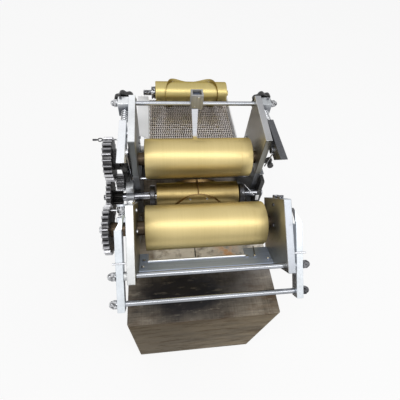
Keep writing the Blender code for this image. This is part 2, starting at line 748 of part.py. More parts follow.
def front_leg(name, sign):
    ear = arc(EAR_CENTRE, LEG_EAR_RADIUS, 2 * QUARTER, 4 * QUARTER, 12)
    outline = ear + [(LEG_BACK_Y, PLATE_SPLIT_Z - 3 * FLANGE_THICKNESS), (LEG_BACK_Y, PLATE_SPLIT_Z),
                     (LEG_FRONT_Y, PLATE_SPLIT_Z), (LEG_FRONT_Y, PLATE_SPLIT_Z - 3 * FLANGE_THICKNESS)]
    low, high = span(sign, PLATE_INNER_X, PLATE_OUTER_X)
    made = slab(name, [outline, circle(EAR_CENTRE, PIN_BORE)], low, high, "X", CAST_ALLOY, PIVOT, head)
    low, high = span(sign, PLATE_INNER_X, PLATE_INNER_X + FLANGE_WIDTH)
    flange_loop = box_loop(LEG_FRONT_Y, LEG_BACK_Y, PLATE_SPLIT_Z - FLANGE_THICKNESS, PLATE_SPLIT_Z)
    flange = cutter_slab(name + "_flange", [flange_loop], low, high, "X", PIVOT, head)
    combine(made, flange, "UNION")
    return made


def pivot_bracket(name, sign):
    foot_top = BASE_HEIGHT + BRACKET_FOOT_HEIGHT
    ear = arc(EAR_CENTRE, LEG_EAR_RADIUS, 0, 2 * QUARTER, 12)
    front = PIVOT.y - LEG_EAR_RADIUS
    back = front + BRACKET_LENGTH
    foot_start = PIVOT.y + LEG_EAR_RADIUS + BRACKET_THICKNESS
    outline = ear + [(front, PLATE_FLOOR), (back, PLATE_FLOOR), (back, foot_top), (foot_start, foot_top)]
    face = PLATE_OUTER_X + TOUCH_GAP + BRACKET_THICKNESS
    low, high = span(sign, PLATE_OUTER_X + TOUCH_GAP, face)
    made = slab(name, [outline], low, high, "X", CAST_ALLOY, PIVOT, edge=PLATE_EDGE)
    low, high = span(sign, PLATE_INNER_X, face - BRACKET_THICKNESS / 2)
    pin = cutter_slab(name + "_pin", [circle(EAR_CENTRE, PIVOT_PIN_RADIUS)], low, high, "X", PIVOT)
    low, high = span(sign, face - BRACKET_THICKNESS / 2, face + PIVOT_HEAD)
    cap = cutter_slab(name + "_cap", [circle(EAR_CENTRE, PIVOT_HEAD_RADIUS)], low, high, "X", PIVOT)
    combine(made, pin, "UNION")
    combine(made, cap, "UNION")
    return made


pair("front_leg", front_leg)
pair("pivot_bracket", pivot_bracket)


# Rollers with stepped journals; the left journal runs on through its gear
def roller_outline(left_end, right_end):
    face = ROLLER_LENGTH / 2
    edge = ROLLER_RADIUS - ROLLER_EDGE
    return [(0, right_end), (JOURNAL_RADIUS, right_end), (JOURNAL_RADIUS, face), (edge, face),
            (ROLLER_RADIUS, face - ROLLER_EDGE), (ROLLER_RADIUS, -face + ROLLER_EDGE), (edge, -face),
            (JOURNAL_RADIUS, -face), (JOURNAL_RADIUS, left_end), (0, left_end)]


JOURNAL_END = PLATE_OUTER_X + SHAFT_TIP
turned("rear_roller", roller_outline(REAR_GEAR_X[0] - SHAFT_TIP, JOURNAL_END), "X", BRASS, REAR_ROLLER_AT,
       steps=ROLLER_SEGMENTS)
turned("front_roller", roller_outline(FRONT_GEAR_X[0] - SHAFT_TIP, JOURNAL_END), "X", BRASS,
       FRONT_ROLLER_AT, head, ROLLER_SEGMENTS)

# Gear train on the left; the rear gear is wide enough to drive both of its partners
DIE_AT = at_x(DIE_Y, DIE_Z)
die_direction = math.degrees(math.atan2(DIE_Z - REAR_ROLLER_Z, DIE_Y - REAR_ROLLER_Y))
rear_gear = gear("rear_gear", GEAR_TEETH, GEAR_MODULE, REAR_GEAR_X, JOURNAL_RADIUS, 0, REAR_ROLLER_AT)
hub_loops = [circle((REAR_ROLLER_Y, REAR_ROLLER_Z), radius) for radius in (GEAR_HUB_RADIUS, JOURNAL_BORE)]
gear_hub = cutter_slab("rear_gear_hub", hub_loops, REAR_GEAR_X[0] + SHAFT_TIP, REAR_GEAR_X[1] + GEAR_HUB, "X",
                       REAR_ROLLER_AT)
combine(rear_gear, gear_hub, "UNION")
gear("front_gear", GEAR_TEETH, GEAR_MODULE, FRONT_GEAR_X, JOURNAL_RADIUS,
     mesh_phase(0, GEAR_TEETH, GEAR_TEETH, 2 * QUARTER), FRONT_ROLLER_AT, head)
gear("die_gear", GEAR_TEETH, GEAR_MODULE, DIE_GEAR_X, DIE_SHAFT_RADIUS,
     mesh_phase(0, GEAR_TEETH, GEAR_TEETH, die_direction), DIE_AT)
gear("takeoff_gear", TAKEOFF_TEETH, SMALL_MODULE, TAKEOFF_GEAR_X, DIE_SHAFT_RADIUS, 0, DIE_AT)

# Pinion with its own shaft, turned and toothed in one piece
pinion_phase = mesh_phase(0, TAKEOFF_TEETH, PINION_TEETH, PINION_ANGLE_DEG)
pinion = slab("pinion", [tooth_outline(PINION_TEETH, SMALL_MODULE, pinion_phase, (PINION_Y, PINION_Z))],
              PINION_X[0], PINION_X[1], "X", GEAR_STEEL, PINION_AT)
pinion_shaft = cutter_slab("pinion_shaft", [circle((PINION_Y, PINION_Z), PINION_SHAFT_RADIUS)],
                           PINION_X[0] + SHAFT_TIP, -PLATE_INNER_X, "X", PINION_AT)
combine(pinion, pinion_shaft, "UNION")

# Cutting drum, its shaft with two collars, and the cutting rib
drum_end = DRUM_LENGTH / 2
drum_bore = DIE_SHAFT_RADIUS + TOUCH_GAP
turned("die_drum", [
    (drum_bore, drum_end), (DRUM_RADIUS - ROLLER_EDGE, drum_end), (DRUM_RADIUS, drum_end - ROLLER_EDGE),
    (DRUM_RADIUS, -drum_end + ROLLER_EDGE), (DRUM_RADIUS - ROLLER_EDGE, -drum_end), (drum_bore, -drum_end)],
    "X", BRASS, DIE_AT, steps=40, closed=True)
die_left = DIE_GEAR_X[0] - SHAFT_TIP
turned("die_shaft", [
    (0, DIE_SHAFT_RIGHT_X), (DIE_SHAFT_RADIUS, DIE_SHAFT_RIGHT_X), (DIE_SHAFT_RADIUS, COLLAR_OUTER_X),
    (COLLAR_RADIUS, COLLAR_OUTER_X), (COLLAR_RADIUS, COLLAR_INNER_X), (DIE_SHAFT_RADIUS, COLLAR_INNER_X),
    (DIE_SHAFT_RADIUS, -COLLAR_INNER_X), (COLLAR_RADIUS, -COLLAR_INNER_X), (COLLAR_RADIUS, -COLLAR_OUTER_X),
    (DIE_SHAFT_RADIUS, -COLLAR_OUTER_X), (DIE_SHAFT_RADIUS, die_left), (0, die_left)],
    "X", DARK_STEEL, DIE_AT, steps=24)


def rib_strip(grid, path, closed):
    # A strip standing on the drum: each path point gives its two edges as (distance along X, turn).
    low = DRUM_RADIUS + TOUCH_GAP
    high = DRUM_RADIUS + RIB_HEIGHT
    rings = []
    for left, right in path:
        ring = []
        for (along, turn), radius in ((left, low), (right, low), (right, high), (left, high)):
            ring.append(grid.verts.new((along, -radius * math.cos(turn), radius * math.sin(turn))))
        rings.append(ring)
    count = len(rings)
    for step in range(count if closed else count - 1):
        first = rings[step]
        second = rings[(step + 1) % count]
        for side in range(4):
            other = (side + 1) % 4
            grid.faces.new((first[side], first[other], second[other], second[side]))
    if not closed:
        grid.faces.new(rings[0])
        grid.faces.new(rings[-1][::-1])


def ring_path(start_deg):
    # A circle of the tortilla's size on the unrolled drum; its first edge lies at start_deg above the front.
    path = []
    middle = math.radians(start_deg) - RING_RADIUS / DRUM_RADIUS
    for step in range(RIB_STEPS):
        angle = 2 * math.pi * step / RIB_STEPS
        edges = []
        for radius in (RING_RADIUS - RIB_WIDTH, RING_RADIUS):
            edges.append((radius * math.sin(angle), middle + radius * math.cos(angle) / DRUM_RADIUS))
        path.append(edges)
    return path


def seam_path(start_deg):
    # The straight cut that joins the circle's two ends round the rest of the drum.
    start = math.radians(start_deg) - SEAM_OVERRUN / DRUM_RADIUS
    arc_left = 2 * math.pi - 2 * RING_RADIUS / DRUM_RADIUS + 2 * SEAM_OVERRUN / DRUM_RADIUS
    path = []
    for step in range(SEAM_STEPS + 1):
        turn = start + arc_left * step / SEAM_STEPS
        path.append(((-RIB_WIDTH / 2, turn), (RIB_WIDTH / 2, turn)))
    return path


def cutting_rib(name, start_deg, at):
    made = new_object(name, mesh_from(name, lambda grid: rib_strip(grid, ring_path(start_deg), True)))
    settle(made, BRASS, at)
    seam = new_object(name + "_seam", mesh_from(name + "_seam", lambda grid: rib_strip(
        grid, seam_path(start_deg), False)), cutters)
    settle(seam, BRASS, at)
    combine(made, seam, "UNION")
    return made


cutting_rib("die_rib", DIE_RING_DEG, DIE_AT)


# Bearing housings of the cutting drum, bolted outside the plates and reaching forward of them;
# the right one has an ear that stands up along the plate's front edge
def bearing_housing(name, sign):
    y_low = DIE_Y - (HOUSING_RIGHT_FRONT if sign > 0 else HOUSING_FRONT)
    y_high = DIE_Y + HOUSING_BACK
    z_low = DIE_Z - HOUSING_DOWN
    z_high = DIE_Z + HOUSING_UP
    outline = []
    for corner, (y, z) in enumerate(((y_high, z_high), (y_low, z_high), (y_low, z_low), (y_high, z_low))):
        centre = (y + (HOUSING_CORNER if y == y_low else -HOUSING_CORNER),
                  z + (HOUSING_CORNER if z == z_low else -HOUSING_CORNER))
        outline += arc(centre, HOUSING_CORNER, corner * QUARTER, (corner + 1) * QUARTER, 5)
        if sign > 0 and corner == 0:
            ear_front = DIE_Y - HOUSING_EAR_FRONT
            ear_back = ear_front + HOUSING_EAR_DEPTH
            ear_top = DIE_Z + HOUSING_EAR_UP
            outline += [(ear_back, z_high), (ear_back, ear_top - HOUSING_EAR_CORNER),
                        (ear_back - HOUSING_EAR_CORNER, ear_top), (ear_front + HOUSING_EAR_CORNER, ear_top),
                        (ear_front, ear_top - HOUSING_EAR_CORNER), (ear_front, z_high)]
    loops = [outline, circle((DIE_Y, DIE_Z), DIE_SHAFT_RADIUS + RUN_GAP)]
    face = PLATE_OUTER_X + TOUCH_GAP
    thickness = HOUSING_RIGHT_THICKNESS if sign > 0 else HOUSING_LEFT_THICKNESS
    look = BLACK_PAINT if sign > 0 else CAST_ALLOY
    low, high = span(sign, face, face + thickness)
    return slab(name, loops, low, high, "X", look, DIE_AT)


pair("bearing_housing", bearing_housing)

# Cross bar between the lower plates
turned("cross_bar", [(0, PLATE_INNER_X - TOUCH_GAP), (CROSS_BAR_RADIUS, PLATE_INNER_X - TOUCH_GAP),
                     (CROSS_BAR_RADIUS, -PLATE_INNER_X + TOUCH_GAP), (0, -PLATE_INNER_X + TOUCH_GAP)],
       "X", BRIGHT_STEEL, at_x(CROSS_BAR_Y, CROSS_BAR_Z), steps=16)

# Discharge belt: a closed band over two end rollers between two rails
BELT_FRONT_AT = at_x(BELT_FRONT_Y, BELT_AXIS_Z)
BELT_REAR_AT = at_x(BELT_REAR_Y, BELT_AXIS_Z)


def stadium(radius):
    back = arc((BELT_REAR_Y, BELT_AXIS_Z), radius, -QUARTER, QUARTER, BELT_ARC_STEPS)
    front = arc((BELT_FRONT_Y, BELT_AXIS_Z), radius, QUARTER, 3 * QUARTER, BELT_ARC_STEPS)
    return back + front


slab("belt", [stadium(BELT_RADIUS), stadium(BELT_RADIUS - BELT_THICKNESS)], BELT_LEFT_X, BELT_RIGHT_X, "X",
     WIRE_MESH, BELT_FRONT_AT)
soften(parts.objects["belt"])


def belt_roller(name, at):
    left = BELT_LEFT_X - RAIL_GAP - RAIL_SHEET - RUN_GAP
    right = BELT_RIGHT_X + RAIL_GAP + RAIL_SHEET + RUN_GAP
    return turned(name, [
        (0, right), (BELT_SHAFT_RADIUS, right), (BELT_SHAFT_RADIUS, BELT_RIGHT_X),
        (BELT_ROLLER_RADIUS, BELT_RIGHT_X), (BELT_ROLLER_RADIUS, BELT_LEFT_X),
        (BELT_SHAFT_RADIUS, BELT_LEFT_X), (BELT_SHAFT_RADIUS, left), (0, left)],
        "X", BRIGHT_STEEL, at, steps=24)


belt_roller("belt_front_roller", BELT_FRONT_AT)
belt_roller("belt_rear_roller", BELT_REAR_AT)


# Rails: thin guards at the belt's edges with bosses that reach the lower plates
def rail(name, sign):
    side = BELT_RIGHT_X if sign > 0 else -BELT_LEFT_X
    near = side + RAIL_GAP
    low, high = span(sign, near, near + RAIL_SHEET)
    rail_end = BELT_REAR_Y + RAIL_OVERHANG
    outline = box_loop(BELT_FRONT_Y - RAIL_OVERHANG, rail_end, BELT_TOP_Z - RAIL_DROP, BELT_TOP_Z + RAIL_RISE)
    loops = [outline]
    for y in (BELT_FRONT_Y, BELT_REAR_Y):
        loops.append(circle((y, BELT_AXIS_Z), BELT_SHAFT_RADIUS + RUN_GAP, 16))
    made = slab(name, loops, low, high, "X", WHITE_PAINT, BELT_FRONT_AT)
    low, high = span(sign, near + RAIL_SHEET / 2, PLATE_INNER_X - TOUCH_GAP)
    centres = [(BELT_FRONT_Y + y, BELT_AXIS_Z) for y in BOSS_FROM_ROLLER]
    bosses = cutter_slab(name + "_bosses", [circle(centre, BOSS_RADIUS, 16) for centre in centres],
                         low, high, "X", BELT_FRONT_AT)
    combine(made, bosses, "UNION")
    if sign < 0:
        top = BELT_TOP_Z + RAIL_RISE
        edge_x = -near - RAIL_SHEET / 2
        wing_x = -near - RAIL_SHEET - WING_WIDTH
        wing_front = REAR_PLATE_BACK_Y + WING_GAP
        wing = cutter_slab(name + "_wing", [[
            (edge_x, wing_front), (edge_x, rail_end), (wing_x, rail_end), (wing_x, wing_front + WING_TAPER)]],
            top - WING_SHEET, top, "Z", at_x(BELT_FRONT_Y, top))
        combine(made, wing, "UNION")
    return made


pair("conveyor_rail", rail)

# Spare cutting drum across the belt's far end
SPARE_AT = Vector((SPARE_X, SPARE_Y, SPARE_Z))
spare_end = DRUM_LENGTH / 2
turned("spare_drum", [
    (0, spare_end + SPARE_RIGHT_STUB), (SPARE_STUB_RADIUS, spare_end + SPARE_RIGHT_STUB),
    (SPARE_STUB_RADIUS, spare_end), (DRUM_RADIUS - ROLLER_EDGE, spare_end),
    (DRUM_RADIUS, spare_end - ROLLER_EDGE), (DRUM_RADIUS, -spare_end + ROLLER_EDGE),
    (DRUM_RADIUS - ROLLER_EDGE, -spare_end), (SPARE_HUB_RADIUS, -spare_end),
    (SPARE_HUB_RADIUS, -spare_end - SPARE_HUB), (SPARE_STUB_RADIUS, -spare_end - SPARE_HUB),
    (SPARE_STUB_RADIUS, -spare_end - SPARE_LEFT_STUB), (0, -spare_end - SPARE_LEFT_STUB)],
    "X", BRASS, SPARE_AT, steps=40)
cutting_rib("spare_rib", SPARE_RING_DEG, SPARE_AT)


# Tie rods: plain rod with a domed nut drawn tight on each end
def tie_rod(name, nut_face, at, parent=None):
    dome_steps = 3
    right = [(0, nut_face + NUT_HEX + NUT_DOME_RADIUS)]
    for step in range(1, dome_steps + 1):
        turn = math.pi / 2 * step / dome_steps
        height = nut_face + NUT_HEX + NUT_DOME_RADIUS * math.cos(turn)
        right.append((NUT_DOME_RADIUS * math.sin(turn), height))
    right += [(NUT_RADIUS, nut_face + NUT_HEX), (NUT_RADIUS, nut_face), (ROD_RADIUS, nut_face)]
    left = [(radius, -height) for radius, height in reversed(right)]
    return turned(name, right + left, "X", BRIGHT_STEEL, at, parent, steps=18)


tie_rod("rear_tie_rod", LUG_OUTER_X + TOUCH_GAP, at_x(REAR_ROD_Y, REAR_ROD_Z))


# Draw arms, slotted so that they slide on two guide bolts each
def draw_arm(name, sign):
    slope_low = ARM_FRONT_Y + ARM_SLOPE_RUN
    outline = [(ARM_FRONT_Y, ARM_TOP_Z), (slope_low, ARM_BOTTOM_Z + ARM_NOSE),
               (slope_low + ARM_NOSE, ARM_BOTTOM_Z), (ARM_BACK_Y, ARM_BOTTOM_Z), (ARM_BACK_Y, ARM_TOP_Z)]
    loops = [outline] + [slot((y, GUIDE_Z), GUIDE_RADIUS + RUN_GAP, ARM_TRAVEL + RUN_GAP) for y in GUIDE_Y]
    low, high = span(sign, ARM_INNER_X, ARM_INNER_X + ARM_WIDTH)
    at = Vector((sign * SCREW_X, ARM_BACK_Y, SCREW_Z))
    made = slab(name, loops, low, high, "X", BRIGHT_STEEL, at, edge=PLATE_EDGE)
    bore = cutter_slab(name + "_bore", [circle((sign * SCREW_X, SCREW_Z), SCREW_RADIUS + RUN_GAP, 16)],
                       ARM_BACK_Y - SCREW_BITE - ARM_TRAVEL - RUN_GAP, ARM_BACK_Y + ARM_TRAVEL, "Y", at)
    combine(made, bore, "DIFFERENCE")
    if sign < 0:
        pin_bore = cutter_slab("pull_pin_bore", [circle((PULL_Y, PULL_Z), PULL_RADIUS + RUN_GAP, 12)],
                               PULL_INNER_X - PULL_BITE - ARM_WIDTH, PULL_INNER_X + RUN_GAP, "X", at)
        combine(made, pin_bore, "DIFFERENCE")
    return made


pair("draw_arm", draw_arm)

arm_inner_gap = ARM_INNER_X - RUN_GAP
guide_head_face = ARM_INNER_X + ARM_WIDTH + RUN_GAP


def arm_guide(name, sign, y):
    outline = [(0, guide_head_face + GUIDE_HEAD), (GUIDE_HEAD_RADIUS, guide_head_face + GUIDE_HEAD),
               (GUIDE_HEAD_RADIUS, guide_head_face), (GUIDE_RADIUS, guide_head_face),
               (GUIDE_RADIUS, arm_inner_gap), (GUIDE_BOSS_RADIUS, arm_inner_gap),
               (GUIDE_BOSS_RADIUS, PLATE_OUTER_X + TOUCH_GAP), (0, PLATE_OUTER_X + TOUCH_GAP)]
    if sign < 0:
        outline = [(radius, -height) for radius, height in reversed(outline)]
    return turned(name, outline, "X", BRIGHT_STEEL, at_x(y, GUIDE_Z), steps=18)


pair("front_arm_guide", lambda name, sign: arm_guide(name, sign, GUIDE_Y[0]))
pair("rear_arm_guide", lambda name, sign: arm_guide(name, sign, GUIDE_Y[1]))


# Lug blocks at the plates' rear corners, drilled for the tie rod and for the knob screws
def lug_block(name, sign):
    at = Vector((sign * SCREW_X, LUG_BACK_Y, SCREW_Z))
    low, high = span(sign, LUG_INNER_X, LUG_OUTER_X)
    outline = box_loop(LUG_FRONT_Y, LUG_BACK_Y, SCREW_Z - LUG_UNDER_SCREW, PLATE_HIGH_Z)
    made = slab(name, [outline, circle((REAR_ROD_Y, REAR_ROD_Z), ROD_RADIUS + RUN_GAP, 16)],
                low, high, "X", CAST_ALLOY, at, edge=PLATE_EDGE)
    bore = cutter_slab(name + "_bore", [circle((sign * SCREW_X, SCREW_Z), SCREW_RADIUS + RUN_GAP, 16)],
                       LUG_FRONT_Y - LUG_BEFORE_ROD, LUG_BACK_Y + LUG_BEHIND_ROD, "Y", at)
    combine(made, bore, "DIFFERENCE")
    return made


pair("lug_block", lug_block)


# Knobs: lobed disc on a hub, with the screw that draws the arm
def knob(name, sign):
    at = Vector((sign * SCREW_X, LUG_BACK_Y, SCREW_Z))
    face = LUG_BACK_Y + TOUCH_GAP
    lobed = []
    steps = KNOB_LOBES * 6
    for step in range(steps):
        turn = 2 * math.pi * step / steps
        reach = KNOB_RADIUS - KNOB_LOBE_DEPTH * (1 - math.cos(KNOB_LOBES * turn)) / 2
        lobed.append((sign * SCREW_X + reach * math.cos(turn), SCREW_Z + reach * math.sin(turn)))
    made = slab(name, [lobed], face + KNOB_OFFSET, face + KNOB_OFFSET + KNOB_THICKNESS, "Y", BLACK_PLASTIC,
                at, edge=2 * PLATE_EDGE)
    hub = cutter_slab(name + "_hub", [circle((sign * SCREW_X, SCREW_Z), KNOB_HUB_RADIUS)],
                      face, face + KNOB_OFFSET * 2, "Y", at)
    screw = cutter_slab(name + "_screw", [circle((sign * SCREW_X, SCREW_Z), SCREW_RADIUS, 16)],
                        ARM_BACK_Y - SCREW_BITE + ARM_TRAVEL, face + KNOB_OFFSET, "Y", at)
    combine(made, hub, "UNION")
    combine(made, screw, "UNION")
    return made


pair("knob", knob)
pair("draw_spring", lambda name, sign: spring(
    name, ARM_BACK_Y + TOUCH_GAP - LUG_FRONT_Y, -TOUCH_GAP, DRAW_SPRING_RADIUS, DRAW_SPRING_WIRE,
    DRAW_SPRING_CURLS, Vector((sign * SCREW_X, LUG_FRONT_Y, SCREW_Z))))

# Clamp levers on the head: they turn about the clamp rod, are joined by the handle bar, and their
# tongues lie on the draw arms when the head is closed
CLAMP_Y, CLAMP_Z = head_point(CLAMP_ROD_U, CLAMP_ROD_W)
CLAMP_AT = at_x(CLAMP_Y, CLAMP_Z)
HANDLE_Y, HANDLE_Z = head_point(HANDLE_U, HANDLE_W)
clamp = pivot_empty("clamp_pivot", CLAMP_AT, head)
lever_nut_face = LEVER_INNER_X + LEVER_WIDTH + TOUCH_GAP
tie_rod("clamp_rod", lever_nut_face, CLAMP_AT, head)
tie_rod("handle_bar", lever_nut_face, at_x(HANDLE_Y, HANDLE_Z), clamp)


def lever_tongue(name, sign, top, under):
    # A wedge that grows thinner and narrower towards its tip, which lies close beside the plate.
    tip_near = PLATE_OUTER_X + RUN_GAP
    root_near = LEVER_INNER_X + TONGUE_INSET
    root_far = LEVER_INNER_X + LEVER_WIDTH - TONGUE_INSET
    stations = [(TONGUE_START + TONGUE_BITE, under + TONGUE_INSET, top - TONGUE_INSET, root_near, root_far),
                (TONGUE_END, under, under + TONGUE_TIP, tip_near, tip_near + TONGUE_TIP_WIDTH)]

    def build(grid):
        for u, low, high, near, far in stations:
            for w in (low, high):
                for x in (near, far):
                    grid.verts.new(Vector((sign * x, *head_point(u, w))) - CLAMP_AT)
        bmesh.ops.convex_hull(grid, input=grid.verts)

    return settle(new_object(name, mesh_from(name, build), cutters), CAST_ALLOY, CLAMP_AT, clamp)


def lever(name, sign):
    top = LEVER_BOTTOM + LEVER_HEIGHT
    under = ARM_TOP_Z + 2 * TOUCH_GAP - FRONT_ROLLER_Z
    step = FRONT_ROLLER_Y - ARM_FRONT_Y + TONGUE_ROOM
    outline = [head_point(TONGUE_START, top), head_point(TONGUE_START, under),
               head_point(step, under), head_point(step, LEVER_BOTTOM),
               head_point(LEVER_END, LEVER_BOTTOM), head_point(LEVER_END, top)]
    loops = [outline, circle((CLAMP_Y, CLAMP_Z), ROD_RADIUS + RUN_GAP, 16),
             circle((HANDLE_Y, HANDLE_Z), ROD_RADIUS + RUN_GAP, 16)]
    low, high = span(sign, LEVER_INNER_X, LEVER_INNER_X + LEVER_WIDTH)
    made = slab(name, loops, low, high, "X", CAST_ALLOY, CLAMP_AT, clamp, PLATE_EDGE)
    combine(made, lever_tongue(name + "_tongue", sign, top, under), "UNION")
    return made


pair("clamp_lever", lever)

# Spring buffers: lug and headed pin on the head, black stop on the fixed plate
def buffer_lug(name, sign):
    at = Vector((sign * BUFFER_X, BUFFER_LUG_BACK_Y, BUFFER_Z))
    low, high = span(sign, LUG_INNER_X, BUFFER_X + BUFFER_LUG_HALF)
    loop = box_loop(BUFFER_LUG_FRONT_Y, BUFFER_LUG_BACK_Y,
                    BUFFER_Z - BUFFER_LUG_HALF, BUFFER_Z + BUFFER_LUG_HALF)
    made = slab(name, [loop], low, high, "X", CAST_ALLOY, at, head, PLATE_EDGE)
    pin_start = (BUFFER_LUG_FRONT_Y + BUFFER_LUG_BACK_Y) / 2
    pin = cutter_slab(name + "_pin", [circle((sign * BUFFER_X, BUFFER_Z), BUFFER_PIN_RADIUS, 16)],
                      pin_start, BUFFER_HEAD_BACK_Y - BUFFER_HEAD / 2, "Y", at, head)
    cap = cutter_slab(name + "_cap", [circle((sign * BUFFER_X, BUFFER_Z), BUFFER_HEAD_RADIUS, 20)],
                      BUFFER_HEAD_BACK_Y - BUFFER_HEAD, BUFFER_HEAD_BACK_Y, "Y", at, head)
    combine(made, pin, "UNION")
    combine(made, cap, "UNION")
    return made


pair("buffer_lug", buffer_lug)
pair("buffer_spring", lambda name, sign: spring(
    name, TOUCH_GAP, BUFFER_HEAD_BACK_Y - BUFFER_HEAD - TOUCH_GAP - BUFFER_LUG_BACK_Y, BUFFER_SPRING_RADIUS,
    BUFFER_SPRING_WIRE, BUFFER_SPRING_CURLS, Vector((sign * BUFFER_X, BUFFER_LUG_BACK_Y, BUFFER_Z)), head))


def buffer_stop(name, sign):
    low, high = span(sign, LUG_INNER_X, BUFFER_X + STOP_HALF)
    loop = box_loop(STOP_FRONT_Y, STOP_FRONT_Y + STOP_DEPTH, BUFFER_Z - STOP_HALF, BUFFER_Z + STOP_HALF)
    return slab(name, [loop], low, high, "X", BLACK_PAINT, at_x(STOP_FRONT_Y, BUFFER_Z, sign * BUFFER_X),
                edge=PLATE_EDGE)


pair("buffer_stop", buffer_stop)

# Scraper panel: a strip across the head with two cheeks that reach in beside the roller
panel_out = Vector((0, *head_point(*PANEL_OUT)))
panel_in = Vector((0, *head_point(*PANEL_IN)))
panel_run = (panel_in - panel_out).normalized()
panel_normal = Vector((0, -panel_run.z, panel_run.y))
panel_depth = (panel_in - panel_out).length
PANEL_TURN = Matrix(((1, 0, 0), (0, panel_run.y, panel_normal.y),
                     (0, panel_run.z, panel_normal.z))).to_4x4()


def panel_slab(name, loop, low, high, look):
    mesh = slab_mesh(name, [loop], low, high, "Z", FLOOR)
    mesh.transform(PANEL_TURN)
    return settle(new_object(name, mesh), look, panel_out, head)


half_span = PLATE_INNER_X - TOUCH_GAP
left_cheek = -half_span + PANEL_LEFT_CHEEK
right_cheek = half_span - PANEL_RIGHT_CHEEK
panel_slab("scraper_panel", [
    (-half_span, 0), (half_span, 0), (half_span, panel_depth), (right_cheek, panel_depth),
    (right_cheek, PANEL_STRIP), (left_cheek, PANEL_STRIP), (left_cheek, panel_depth),
    (-half_span, panel_depth)], 0, PANEL_THICKNESS, STAINLESS)
notch_left = BLADE_NOTCH_X - BLADE_NOTCH_WIDTH / 2
notch_right = BLADE_NOTCH_X + BLADE_NOTCH_WIDTH / 2
blade_low = PANEL_STRIP - BLADE_BACK
panel_slab("scraper_blade", [
    (left_cheek, blade_low), (right_cheek, blade_low), (right_cheek, PANEL_STRIP), (notch_right, PANEL_STRIP),
    (notch_right, PANEL_STRIP - BLADE_NOTCH_DEPTH), (notch_left, PANEL_STRIP - BLADE_NOTCH_DEPTH),
    (notch_left, PANEL_STRIP), (left_cheek, PANEL_STRIP)],
    -TOUCH_GAP - BLADE_THICKNESS, -TOUCH_GAP, BRIGHT_STEEL)

# Clip on the rear tie rod and the finger it holds against the rear roller
ROD_AT = at_x(REAR_ROD_Y, REAR_ROD_Z, CLIP_X)
clip_loops = [box_loop(REAR_ROD_Y - CLIP_FRONT, REAR_ROD_Y + CLIP_BACK, REAR_ROD_Z - CLIP_DOWN,
                       REAR_ROD_Z + CLIP_UP), circle((REAR_ROD_Y, REAR_ROD_Z), ROD_RADIUS + RUN_GAP, 16)]
slab("finger_clip", clip_loops, CLIP_X - CLIP_WIDTH / 2, CLIP_X + CLIP_WIDTH / 2, "X", CAST_ALLOY, ROD_AT,
     edge=PLATE_EDGE)
finger_angle = math.radians(FINGER_ANGLE_DEG)
reach = ROLLER_RADIUS + RUN_GAP + FINGER_SHEET / 2
tip = Vector((0, REAR_ROLLER_Y + reach * math.cos(finger_angle),
              REAR_ROLLER_Z + reach * math.sin(finger_angle)))
root = Vector((0, REAR_ROD_Y - CLIP_FRONT - TOUCH_GAP, REAR_ROD_Z - CLIP_DOWN + FINGER_SHEET))
finger_run = (tip - root).normalized()
finger_normal = Vector((0, -finger_run.z, finger_run.y))
FINGER_TURN = Matrix(((1, 0, 0), (0, finger_run.y, finger_normal.y),
                      (0, finger_run.z, finger_normal.z))).to_4x4()
finger_length = (tip - root).length
mesh = slab_mesh("scraper_finger", [[
    (FINGER_X - FINGER_TOP_WIDTH / 2, 0), (FINGER_X + FINGER_TOP_WIDTH / 2, 0),
    (FINGER_X + FINGER_TIP_WIDTH / 2, finger_length), (FINGER_X - FINGER_TIP_WIDTH / 2, finger_length)]],
    -FINGER_SHEET, 0, "Z", FLOOR)
mesh.transform(FINGER_TURN)
settle(new_object("scraper_finger", mesh), BRIGHT_STEEL, root)

# Pull pin: rod that sits in the left draw arm, with a small ring and a grip beyond it
PULL_AT = at_x(PULL_Y, PULL_Z, PULL_INNER_X)
ring_near = PULL_RING_X + PULL_RING_RADIUS - PULL_RING_WIRE / 2
ring_far = PULL_RING_X - PULL_RING_RADIUS + PULL_RING_WIRE / 2
pull_pin = slab("pull_pin", [circle((PULL_Y, PULL_Z), PULL_RADIUS, 12)], ring_near, PULL_INNER_X, "X",
                BRIGHT_STEEL, PULL_AT)
ring_mesh = turned_mesh("pull_ring", circle((PULL_RING_RADIUS, 0), PULL_RING_WIRE, 6), 20, True)
ring = new_object("pull_ring", ring_mesh, cutters)
settle(ring, BRIGHT_STEEL, at_x(PULL_Y, PULL_Z, PULL_RING_X))
grip = cutter_slab("pull_grip", [circle((PULL_Y, PULL_Z), PULL_GRIP_RADIUS, 12)],
                   ring_far - PULL_GRIP, ring_far, "X", PULL_AT)
combine(pull_pin, ring, "UNION")
combine(pull_pin, grip, "UNION")
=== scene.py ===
import json
import math

import bmesh
import bpy
from mathutils import Matrix, Vector


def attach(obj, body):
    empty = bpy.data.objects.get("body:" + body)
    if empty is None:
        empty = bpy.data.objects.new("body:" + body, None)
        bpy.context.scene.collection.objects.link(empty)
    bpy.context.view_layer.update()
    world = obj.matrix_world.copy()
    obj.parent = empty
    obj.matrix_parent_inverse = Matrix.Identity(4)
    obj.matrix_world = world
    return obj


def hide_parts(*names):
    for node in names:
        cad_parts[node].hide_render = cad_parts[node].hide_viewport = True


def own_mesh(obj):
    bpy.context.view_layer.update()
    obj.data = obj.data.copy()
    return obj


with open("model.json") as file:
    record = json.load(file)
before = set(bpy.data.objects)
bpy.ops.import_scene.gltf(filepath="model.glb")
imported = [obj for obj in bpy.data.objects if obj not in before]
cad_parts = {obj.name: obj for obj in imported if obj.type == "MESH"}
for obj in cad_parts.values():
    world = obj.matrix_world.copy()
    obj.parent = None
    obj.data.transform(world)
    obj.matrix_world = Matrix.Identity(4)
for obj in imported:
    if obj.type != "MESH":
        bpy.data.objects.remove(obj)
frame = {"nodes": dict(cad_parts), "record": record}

scene = bpy.context.scene
